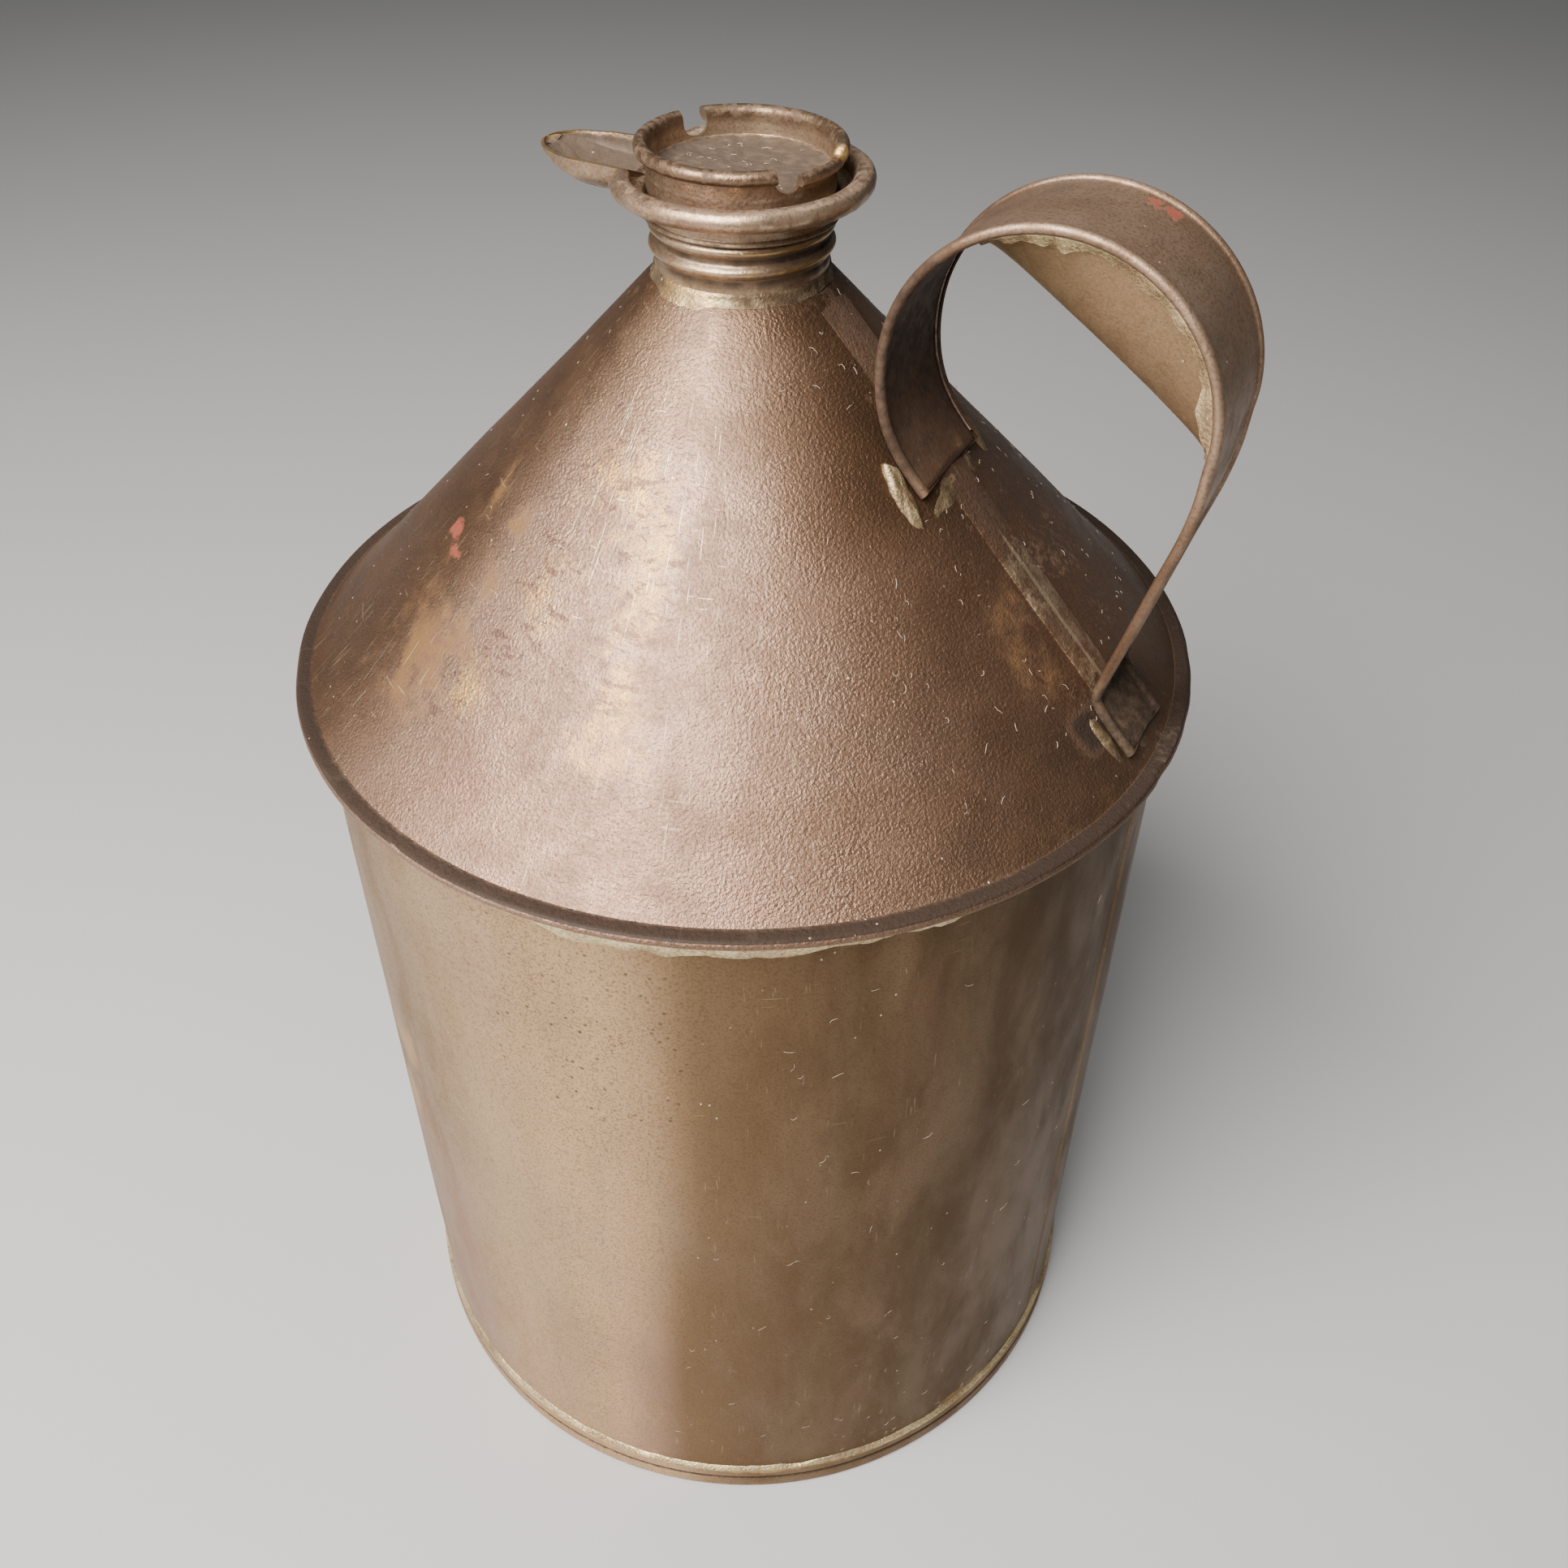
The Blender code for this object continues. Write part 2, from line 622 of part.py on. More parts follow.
def main():
    clear_scene()
    steel = make_material("aged_steel", (0.33, 0.25, 0.19), 0.42, 0.9)
    solder = make_material("solder", (0.62, 0.55, 0.42), 0.45, 0.9)
    brass = make_material("brass", (0.52, 0.38, 0.18), 0.4, 1.0)
    wire = make_material("iron_wire", (0.22, 0.18, 0.15), 0.5, 0.9)
    leather = make_material("leather", (0.16, 0.10, 0.06), 0.8, 0.0)

    build_body_shell(steel)
    build_base_pan(steel)
    build_base_solder(solder)
    build_cone_top(steel)
    build_shoulder_solder(solder)
    build_cone_seam(steel)
    build_neck_tube(steel)
    build_neck_solder(solder)
    build_ferrule(brass)
    build_drip_ring(steel)
    build_pour_lip(steel)
    build_screw_cap(steel)
    build_gasket(leather)
    build_handle_strap(steel)
    build_hand_grip(steel)
    for side, word in ((-1, "near"), (1, "far")):
        build_handle_wire(f"handle_wire_{word}", side, wire)
        build_grip_solder(f"grip_solder_{word}", side, solder)
        upper = (46.5, side * (STRAP_HALF + CURL_R + GAP + 1.9))
        build_solder_dome(f"upper_foot_solder_{word}", upper, 11.0, 3.4, 1.8, solder)
        lower = (97.5, side * (FOOT_HALF + CURL_R + GAP + 1.4))
        build_solder_dome(f"lower_foot_solder_{word}", lower, 9.0, 2.4, 0.9, solder)


main()
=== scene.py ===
"""Looks for the conical-top can: detailed sheet-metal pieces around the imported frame."""

from math import acos, atan2, cos, degrees, exp, hypot, pi, radians, sin, sqrt, tan, tau

import bmesh
import bpy
import numpy as np
from mathutils import Matrix, Vector


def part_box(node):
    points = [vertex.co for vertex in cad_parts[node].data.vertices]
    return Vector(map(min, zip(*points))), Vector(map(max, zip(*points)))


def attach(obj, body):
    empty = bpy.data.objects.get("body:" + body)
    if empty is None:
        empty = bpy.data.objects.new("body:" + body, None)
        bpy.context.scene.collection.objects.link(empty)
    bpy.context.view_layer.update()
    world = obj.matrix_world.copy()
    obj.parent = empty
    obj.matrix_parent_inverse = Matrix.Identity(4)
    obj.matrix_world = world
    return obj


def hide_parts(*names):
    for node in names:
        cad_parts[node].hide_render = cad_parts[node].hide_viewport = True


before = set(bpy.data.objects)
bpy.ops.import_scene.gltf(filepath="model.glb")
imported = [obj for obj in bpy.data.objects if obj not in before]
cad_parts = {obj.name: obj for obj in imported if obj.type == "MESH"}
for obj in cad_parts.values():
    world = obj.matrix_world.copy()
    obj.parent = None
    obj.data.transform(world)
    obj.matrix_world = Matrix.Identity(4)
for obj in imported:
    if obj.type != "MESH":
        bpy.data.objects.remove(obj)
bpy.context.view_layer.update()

MM = 0.001


def mm_box(node):
    """A node's low and high corners in millimetres."""
    low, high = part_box(node)
    return np.array(low) / MM, np.array(high) / MM


BODY_LOW, BODY_HIGH = mm_box("body_shell")
PAN_HIGH = mm_box("base_pan")[1]
TOP_LOW, TOP_HIGH = mm_box("cone_top")
NECK_LOW, NECK_HIGH = mm_box("neck_tube")
CAP_LOW, CAP_HIGH = mm_box("screw_cap")
LIP_LOW, LIP_HIGH = mm_box("pour_lip")
GASKET_LOW, GASKET_HIGH = mm_box("cap_gasket")

SHEET = 0.7                     # thickness of the sheet metal
BODY_R = 104.6                  # outside of the cylinder
SHOULDER_R = TOP_HIGH[0]
PAN_R = PAN_HIGH[0]
APEX_Z = 353.66                 # where the cone's surface would meet its axis
SLOPE = 1.0581                  # drop per millimetre of radius
RIM_Z = 243                     # the level flange round the cone
RIM_BEND = 1.45
RIM_IN = (APEX_Z - RIM_Z) / SLOPE
SEAM_HALF = 5.4
FACETS = 192                    # steps round the big pieces


# ---- numbers

def unit(v):
    return v / max(1e-9, float(np.linalg.norm(v)))


def ramp(x, a, b):
    """0 below a, 1 above b, smooth between; falls instead where b < a."""
    t = np.clip((x - a) / (b - a), 0, 1)
    return t * t * (3 - 2 * t)


def bump(x, centre, half, soft):
    """1 within half of the centre, fading over soft."""
    return 1 - ramp(np.abs(x - centre), half, half + soft)


def lattice(ix, iy, iz, seed):
    """A repeatable value from -1 to 1 for each whole-number place."""
    n = (ix * 73856093) ^ (iy * 19349663) ^ (iz * 83492791) ^ (seed * 97531)
    n = ((n ^ (n >> 13)) * 1274126177) & 0x7FFFFFFF
    n = ((n ^ (n >> 15)) * 668265263) & 0x7FFFFFFF
    return ((n ^ (n >> 14)) & 0xFFFF) / 32767.5 - 1


def noise(points, size, seed):
    """Smooth noise from -1 to 1 at (..., 3) points, with features of a size in mm."""
    q = np.asarray(points, dtype=float) / size
    cell = np.floor(q).astype(np.int64)
    f = q - cell
    f = f * f * (3 - 2 * f)
    total = 0
    for dx in (0, 1):
        wx = f[..., 0] if dx else 1 - f[..., 0]
        for dy in (0, 1):
            wy = f[..., 1] if dy else 1 - f[..., 1]
            for dz in (0, 1):
                wz = f[..., 2] if dz else 1 - f[..., 2]
                total = total + wx * wy * wz * lattice(
                    cell[..., 0] + dx, cell[..., 1] + dy, cell[..., 2] + dz, seed)
    return total


def noise_at(point, size, seed):
    return float(noise(np.array(point), size, seed))


def fbm(points, size, seed):
    """Noise in three octaves."""
    total = sum(0.5**k * noise(points, size / 2**k, seed + 17 * k) for k in range(3))
    return total / 1.6


def clouds(points, seed, *sizes):
    """One layer of octave noise for each size."""
    return [fbm(points, size, seed + k) for k, size in enumerate(sizes)]


def at(r, a, z):
    """Points from radius, angle and height."""
    return np.stack([r * np.cos(a), r * np.sin(a), z], axis=-1)


def arc(centre, radius, start, end, count):
    turns = [radians(a) for a in np.linspace(start, end, count)]
    return [(centre[0] + radius * cos(a), centre[1] + radius * sin(a)) for a in turns]


def rounded(points, radii, step, closed=False):
    """A path through corner points: corners rounded, straights cut every step."""
    pts = [np.array(p, dtype=float) for p in points]
    n = len(pts)
    if np.isscalar(radii):
        radii = [radii] * n
    out = []
    for i, p in enumerate(pts):
        if not closed and i in (0, n - 1):
            out.append([p])
            continue
        a, b = pts[i - 1], pts[(i + 1) % n]
        d1, d2 = unit(a - p), unit(b - p)
        half = acos(np.clip(np.dot(d1, d2), -1, 1)) / 2
        if half > pi / 2 - 0.02 or radii[i] <= 0:
            out.append([p])
            continue
        reach = min(radii[i] / tan(half),
                    0.47 * float(np.linalg.norm(a - p)),
                    0.47 * float(np.linalg.norm(b - p)))
        radius = reach * tan(half)
        centre = p + unit(d1 + d2) * radius / sin(half)
        s, e = p + d1 * reach - centre, p + d2 * reach - centre
        a0, a1 = atan2(s[1], s[0]), atan2(e[1], e[0])
        turn = (a1 - a0 + pi) % tau - pi
        count = max(2, int(abs(turn) / 0.3) + 1)
        out.append([centre + radius * np.array([cos(a0 + turn * k / count),
                                                sin(a0 + turn * k / count)])
                    for k in range(count + 1)])
    path = []
    for i, run in enumerate(out):
        path += run
        if i + 1 < n or closed:
            q = out[(i + 1) % n][0]
            gap = float(np.linalg.norm(q - run[-1]))
            cuts = int(gap / step)
            path += [run[-1] + (q - run[-1]) * (k + 1) / (cuts + 1) for k in range(cuts)]
    return [tuple(p) for p in path]


def sheet(path, thick):
    """Closed outline of a sheet with rounded ends, whose middle follows a path."""
    pts = np.array(path, dtype=float)
    along = np.gradient(pts, axis=0)
    along /= np.linalg.norm(along, axis=1)[:, None]
    side = np.stack([-along[:, 1], along[:, 0]], axis=1) * thick / 2
    left, right = pts + side, pts - side

    def cap(centre, out, edge):
        return [centre + sin(a) * unit(out) * thick / 2 + cos(a) * edge
                for a in np.linspace(0, pi, 7)[1:-1]]

    end = cap(pts[-1], along[-1], side[-1])
    start = cap(pts[0], -along[0], -side[0])
    return [tuple(p) for p in list(left) + end + list(right[::-1]) + start]


# ---- meshes

def add_object(name, data):
    thing = bpy.data.objects.new(name, data)
    bpy.context.scene.collection.objects.link(thing)
    return thing


def make_piece(name, verts, faces, replaced, body="can", sharp=55):
    """Links a millimetre mesh as a smooth piece that rides on a CAD body."""
    bm = bmesh.new()
    made = [bm.verts.new(v) for v in (np.asarray(verts) * MM).tolist()]
    for face in faces:
        if len(set(face)) == len(face):
            bm.faces.new([made[i] for i in face])
    bmesh.ops.remove_doubles(bm, verts=bm.verts, dist=2e-6)
    bmesh.ops.recalc_face_normals(bm, faces=bm.faces)
    mesh = bpy.data.meshes.new(name)
    bm.to_mesh(mesh)
    bm.free()
    mesh.shade_smooth()
    mesh.set_sharp_from_angle(angle=radians(sharp))
    thing = add_object(name, mesh)
    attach(thing, body)
    if replaced:
        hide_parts(*replaced)
    return thing


def grid_faces(rows, cols, wrap_rows, wrap_cols):
    faces = []
    for i in range(rows if wrap_rows else rows - 1):
        a, b = i * cols, ((i + 1) % rows) * cols
        for j in range(cols if wrap_cols else cols - 1):
            k = (j + 1) % cols
            faces.append((a + j, a + k, b + k, b + j))
    return faces


def azimuths(count, dense=()):
    """Angles round the circle; dense holds (centre, half, step) in degrees where detail is finer."""
    angles = set(np.round(np.linspace(-180, 180, count, endpoint=False), 4))
    for centre, half, fine in dense:
        angles = {a for a in angles if abs(a - centre) > half}
        angles |= set(np.round(np.arange(centre - half, centre + half + 1e-6, fine), 4))
    return np.radians(np.array(sorted(angles)))


def spin(outline, az):
    """Radius, height and angle of an outline turned about Z."""
    r = np.repeat(outline[:, :1], len(az), axis=1)
    z = np.repeat(outline[:, 1:2], len(az), axis=1)
    return r, z, np.repeat(az[None, :], len(outline), axis=0)


def lathe(name, outline, az, replaced, warp, body="can", closed=True, sharp=55):
    """Turns an outline about Z at the given angles; warp moves (r, z) by place."""
    r, z, a = spin(np.array(outline, dtype=float), az)
    r, z = warp(r, z, a)
    faces = grid_faces(len(outline), len(az), closed, True)
    return make_piece(name, at(r, a, z).reshape(-1, 3), faces, replaced, body, sharp)


def loft(name, rings, replaced, body="can", sharp=55):
    """Closed rings of points joined in order, with a fan over each end."""
    rings = np.asarray(rings, dtype=float)
    n, m = rings.shape[:2]
    pts = np.vstack([rings.reshape(-1, 3), rings[0].mean(axis=0), rings[-1].mean(axis=0)])
    faces = grid_faces(n, m, False, True)
    for j in range(m):
        k = (j + 1) % m
        faces.append((n * m, k, j))
        faces.append((n * m + 1, (n - 1) * m + j, (n - 1) * m + k))
    return make_piece(name, pts, faces, replaced, body, sharp)


def coords(thing):
    """A piece's vertices in millimetres."""
    flat = np.empty(len(thing.data.vertices) * 3)
    thing.data.vertices.foreach_get("co", flat)
    return flat.reshape(-1, 3) / MM


def dress(thing, material, **masks):
    """Gives a piece its material, and stores the masks from 0 to 1 that the material reads."""
    thing.data.materials.clear()
    thing.data.materials.append(material)
    for name, values in masks.items():
        layer = thing.data.attributes.new(name, "FLOAT", "POINT")
        values = np.clip(values, 0, 1) * np.ones(len(thing.data.vertices))
        layer.data.foreach_set("value", values.astype(np.float32))


def polar(thing):
    """A piece's vertices in millimetres, with their radius, azimuth in degrees and height."""
    p = coords(thing)
    x, y, z = p.T
    return p, np.hypot(x, y), np.degrees(np.arctan2(y, x)), z


# ---- materials

class Nodes:
    """Short calls that build one material's node tree."""

    def __init__(self, name):
        self.material = bpy.data.materials.new(name)
        self.material.use_nodes = True
        self.tree = self.material.node_tree
        self.shader = self.tree.nodes["Principled BSDF"]
        self.place = self.add("ShaderNodeTexCoord").outputs["Object"]
        self.wrap = self.unrolled()

    def plug(self, value, socket):
        if isinstance(value, bpy.types.NodeSocket):
            self.tree.links.new(value, socket)
        elif isinstance(value, tuple):
            socket.default_value = (*value, 1)[:len(socket.default_value)]
        else:
            socket.default_value = value

    def add(self, kind, plugs=None, **settings):
        """A new node, with a value or a link for each socket named in plugs."""
        node = self.tree.nodes.new(kind)
        for key, value in settings.items():
            setattr(node, key, value)
        for key, value in (plugs or {}).items():
            self.plug(value, node.inputs[key])
        return node

    def unrolled(self):
        """Coordinates that run round the can, up it, and out from its axis."""
        xyz = self.add("ShaderNodeSeparateXYZ", {0: self.place}).outputs
        angle = self.math("ARCTAN2", xyz["Y"], xyz["X"])
        plugs = {"X": self.both(angle, 0.08), "Y": xyz["Z"]}
        return self.add("ShaderNodeCombineXYZ", plugs).outputs[0]

    def stretch(self, x, y, z, place=None, turn=0):
        plugs = {"Vector": place or self.place, "Scale": (x, y, z), "Rotation": (0, 0, turn)}
        return self.add("ShaderNodeMapping", plugs).outputs["Vector"]

    def noise(self, scale, detail=4, rough=0.55, place=None, warp=0):
        plugs = {"Vector": place or self.place, "Scale": scale, "Detail": detail,
                 "Roughness": rough, "Distortion": warp}
        return self.add("ShaderNodeTexNoise", plugs).outputs["Fac"]

    def cells(self, scale, place=None):
        plugs = {"Vector": place or self.place, "Scale": scale}
        return self.add("ShaderNodeTexVoronoi", plugs).outputs["Distance"]

    def mask(self, value, low, high):
        """0 at low, 1 at high, smooth between."""
        plugs = {"Value": value, "From Min": low, "From Max": high}
        node = self.add("ShaderNodeMapRange", plugs, interpolation_type="SMOOTHSTEP")
        return node.outputs["Result"]

    def math(self, kind, a, b=0):
        return self.add("ShaderNodeMath", {0: a, 1: b}, operation=kind).outputs[0]

    def both(self, a, b):
        return self.math("MULTIPLY", a, b)

    def most(self, a, b):
        return self.math("MAXIMUM", a, b)

    def mix(self, share, a, b):
        return self.add("ShaderNodeMix", {0: share, 6: a, 7: b}, data_type="RGBA").outputs[2]

    def cover(self, tone, mask, share, colour):
        """A tone with a share of a colour over it where the mask is 1."""
        return self.mix(self.both(mask, share), tone, colour)

    def blend(self, share, a, b):
        return self.add("ShaderNodeMix", {0: share, 2: a, 3: b}, data_type="FLOAT").outputs[0]

    def own(self, name):
        """One of the piece's own masks."""
        return self.add("ShaderNodeAttribute", attribute_name=name).outputs["Fac"]

    def shaken(self, name, shake, amount):
        """One of the piece's own masks, with its edge broken up."""
        return self.math("ADD", self.own(name), self.both(shake, amount))

    def relief(self, height, distance, strength=1, below=None):
        plugs = {"Height": height, "Distance": distance, "Strength": strength}
        if below is not None:
            plugs["Normal"] = below
        return self.add("ShaderNodeBump", plugs).outputs["Normal"]

    def finish(self, colour, rough, metallic, normal=None, specular=0.5, grain=0):
        sockets = self.shader.inputs
        self.plug(colour, sockets["Base Color"])
        self.plug(rough, sockets["Roughness"])
        self.plug(metallic, sockets["Metallic"])
        sockets["Specular IOR Level"].default_value = specular
        if normal is not None:
            self.plug(normal, sockets["Normal"])
        if grain:
            sockets["Anisotropic"].default_value = grain
            sockets["Anisotropic Rotation"].default_value = 0.25
            tangent = self.add("ShaderNodeTangent", direction_type="RADIAL", axis="Z")
            self.plug(tangent.outputs["Tangent"], sockets["Tangent"])
        return self.material


DUST = (0.085, 0.06, 0.043)
# near black: dirt, and painted shade where a mask calls for it
GRIME_AND_SHADE = (0.017, 0.011, 0.008)
RUST = (0.15, 0.075, 0.022)
WORN = (0.52, 0.31, 0.105)
TIN = (0.56, 0.45, 0.29)
RED = (0.2, 0.045, 0.028)
SMUDGE = (0.125, 0.062, 0.05)
SCORE = (0.72, 0.6, 0.4)
FLECK = (0.55, 0.44, 0.33)
BLUSH = (0.33, 0.195, 0.16)
METALLIC = 0.85


def tinted(colour, *shares):
    return tuple(c * share for c, share in zip(colour, shares))


def aged_metal(name, pale, mid, deep, rough, patches, peel, specks,
               streak=(1, 1, 1), grain=0, mottling=0.45, coat=0.1):
    """Patinated sheet: cloudy tone, freckles, dust flecks and the piece's own masks."""
    n = Nodes(name)
    soft = n.stretch(*streak)
    cloud = n.noise(patches, 5, 0.6, soft, 0.6)
    mottle = n.noise(patches * 6, 5, 0.65, soft, 0.3)
    hue = n.noise(patches * 0.55, 3, 0.5, soft, 1.2)
    tone = n.mix(n.mask(cloud, 0.36, 0.62), pale, mid)
    tone = n.cover(tone, n.mask(mottle, 0.42, 0.66), mottling, deep)
    redder, greener = tinted(mid, 1, 0.8, 0.86), tinted(mid, 0.92, 1.03, 0.8)
    tone = n.cover(tone, n.mask(hue, 0.5, 0.66), min(0.3, mottling), redder)
    tone = n.cover(tone, n.mask(hue, 0.5, 0.34), min(0.4, mottling), greener)
    speckle = n.noise(1500, 2, 0.6)
    tone = n.cover(tone, n.mask(speckle, 0.5, 0.64), 0.42, deep)
    tone = n.cover(tone, n.mask(speckle, 0.46, 0.32), 0.3, pale)

    fine = n.noise(2100, 2, 0.5)
    grainy = n.noise(620, 3, 0.6)
    grit = n.math("SUBTRACT", grainy, 0.5)
    edge = n.math("SUBTRACT", n.noise(210, 7, 0.75, None, 0.5), 0.5)
    freckle = n.both(n.mask(fine, 0.58, 0.68), n.mask(cloud, 0.38, 0.58))
    tone = n.cover(tone, freckle, specks, deep)
    pits = n.both(n.mask(n.cells(330), 0.2, 0.1), n.own("pits"))
    tone = n.cover(tone, pits, 0.8, GRIME_AND_SHADE)
    lines = n.noise(1, 2, 0.5, n.stretch(1500, 95, 1, n.wrap, 0.12))
    more_lines = n.noise(1, 2, 0.5, n.stretch(90, 1300, 1, n.wrap, 0.35))
    scored = n.most(n.mask(lines, 0.635, 0.69), n.mask(more_lines, 0.68, 0.73))
    smear = n.noise(1, 6, 0.72, n.stretch(120, 480, 1, n.wrap), 0.5)

    def patch(name, colour, share, low=0.38, high=0.72, ragged=0.9):
        amount = n.mask(n.shaken(name, edge, ragged), low, high)
        return amount, n.cover(tone, amount, share, colour)

    deepened = n.both(n.own("deep"), n.blend(n.mask(mottle, 0.25, 0.6), 0.92, 1))
    tone = n.mix(deepened, tone, deep)
    tone = n.cover(tone, n.own("blush"), 0.6, BLUSH)
    worn, tone = patch("worn", WORN, 0.8)
    rust, tone = patch("rust", RUST, 0.7, 0.35, 0.8)
    tone = n.cover(tone, n.both(n.mask(smear, 0.52, 0.6), n.own("smudge")), 0.75, SMUDGE)
    _, tone = patch("tin", TIN, 0.7, 0.34, 0.68)
    red, tone = patch("red", RED, 0.9, 0.45, 0.65, 1.5)
    tone = n.cover(tone, n.both(scored, n.own("scratch")), 0.75, SCORE)
    # The grime mask darkens real dirt, and on some pieces painted shade and a painted dark reflection.
    grime = n.mask(n.shaken("grime", grit, 0.5), 0.15, 0.85)
    tone = n.cover(tone, grime, 0.9, GRIME_AND_SHADE)
    fleck_cells = n.cells(240, n.stretch(1, 1, 0.7))
    flecks = n.both(n.mask(fleck_cells, 0.075, 0.035), n.mask(n.noise(45, 3), 0.46, 0.62))
    lint = n.most(n.mask(n.shaken("dust", grit, 1.1), 0.35, 0.8),
                  n.both(n.mask(fine, 0.32, 0.24), 0.5))
    tone = n.cover(tone, lint, 0.85, DUST)
    tone = n.cover(tone, flecks, 0.8, FLECK)

    shine = n.blend(n.mask(mottle, 0.35, 0.7), rough - 0.06, rough + 0.1)
    shine = n.blend(worn, shine, rough - 0.07)
    shine = n.blend(grime, shine, 0.92)
    shine = n.blend(lint, shine, 0.9)
    matt = n.most(n.both(lint, 0.9), n.both(n.most(grime, rust), 0.8))
    matt = n.most(n.most(matt, flecks), red)
    metal = n.both(n.math("SUBTRACT", 1, matt), METALLIC)

    waves = n.relief(n.noise(26, 2), 0.0005, 0.22)
    skin = n.relief(n.noise(1450, 2, 0.6), peel * MM, 0.7, waves)
    crust = n.both(n.most(n.own("dust"), n.own("grime")), grainy)
    rough_skin = n.relief(crust, 0.0005, 0.7, skin)
    n.shader.inputs["Coat Weight"].default_value = coat
    n.shader.inputs["Coat Roughness"].default_value = 0.38
    return n.finish(tone, shine, metal, rough_skin, 0.2, grain)


STEEL_BODY = aged_metal("can_body_steel", (0.5, 0.335, 0.2), (0.42, 0.272, 0.155),
        (0.094, 0.054, 0.024),
                        rough=0.42, patches=9, peel=0.07, streak=(1, 1, 0.35), specks=0.6, grain=0.8,
                        mottling=0.22, coat=0)
STEEL_CONE = aged_metal("cone_steel", (0.335, 0.215, 0.15), (0.285, 0.175, 0.118), (0.108, 0.06, 0.033),
                        rough=0.47, patches=14, peel=0.42, specks=0.8, mottling=0.25, coat=0.12)
STEEL_PARTS = aged_metal("fittings_steel", (0.52, 0.38, 0.255), (0.4, 0.275, 0.18), (0.14, 0.086, 0.05),
                         rough=0.36, patches=30, peel=0.08, specks=0.5)
STEEL_STRAP = aged_metal("strap_steel", (0.44, 0.31, 0.215), (0.34, 0.225, 0.145), (0.12, 0.066, 0.038),
                         rough=0.5, patches=24, peel=0.1, specks=0.6)
STEEL_GRIP = aged_metal("grip_steel", (0.49, 0.365, 0.222), (0.4, 0.282, 0.16), (0.22, 0.145, 0.078),
                        rough=0.5, patches=30, peel=0.06, specks=0.4)
SOLDER = aged_metal("old_solder", (0.95, 0.79, 0.47), (0.7, 0.54, 0.3), (0.15, 0.098, 0.055),
                    rough=0.44, patches=110, peel=0.35, specks=0.5)
BRASS = aged_metal("old_brass", (0.6, 0.43, 0.2), (0.46, 0.31, 0.14), (0.22, 0.14, 0.06),
                   rough=0.38, patches=60, peel=0.06, specks=0.4)
WIRE = aged_metal("iron_wire", (0.28, 0.2, 0.15), (0.2, 0.14, 0.1), (0.1, 0.06, 0.04),
                  rough=0.48, patches=60, peel=0.05, specks=0.4)


def leather():
    n = Nodes("oiled_leather")
    pores = n.cells(1400)
    tone = n.mix(n.noise(90, 5), (0.16, 0.095, 0.055), (0.07, 0.04, 0.025))
    return n.finish(tone, n.blend(pores, 0.55, 0.8), 0, n.relief(pores, 0.0003, 0.6))


LEATHER = leather()


def cad_look(node, material):
    """Gives a CAD node that stays in view a better material."""
    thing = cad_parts[node]
    for slot in thing.material_slots:
        slot.material = material


# ---- the cone's surface

def cone_z(radius):
    """Height of the top's outer surface."""
    return np.maximum(RIM_Z, APEX_Z - SLOPE * np.asarray(radius, dtype=float))


def above_cone(radius, lift):
    slope = (cone_z(radius + 0.5) - cone_z(radius - 0.5))
    normal = unit(np.array([-slope, 1]))
    return radius + normal[0] * lift, float(cone_z(radius)) + normal[1] * lift


def on_cone(x, y, lift):
    return x, y, float(cone_z(hypot(x, y))) + lift


def beside_wall(run, z, lift):
    """A point outside the body: run is the distance round it."""
    out, a = BODY_R + lift, run / BODY_R
    return out * cos(a), out * sin(a), z


# ---- body and base

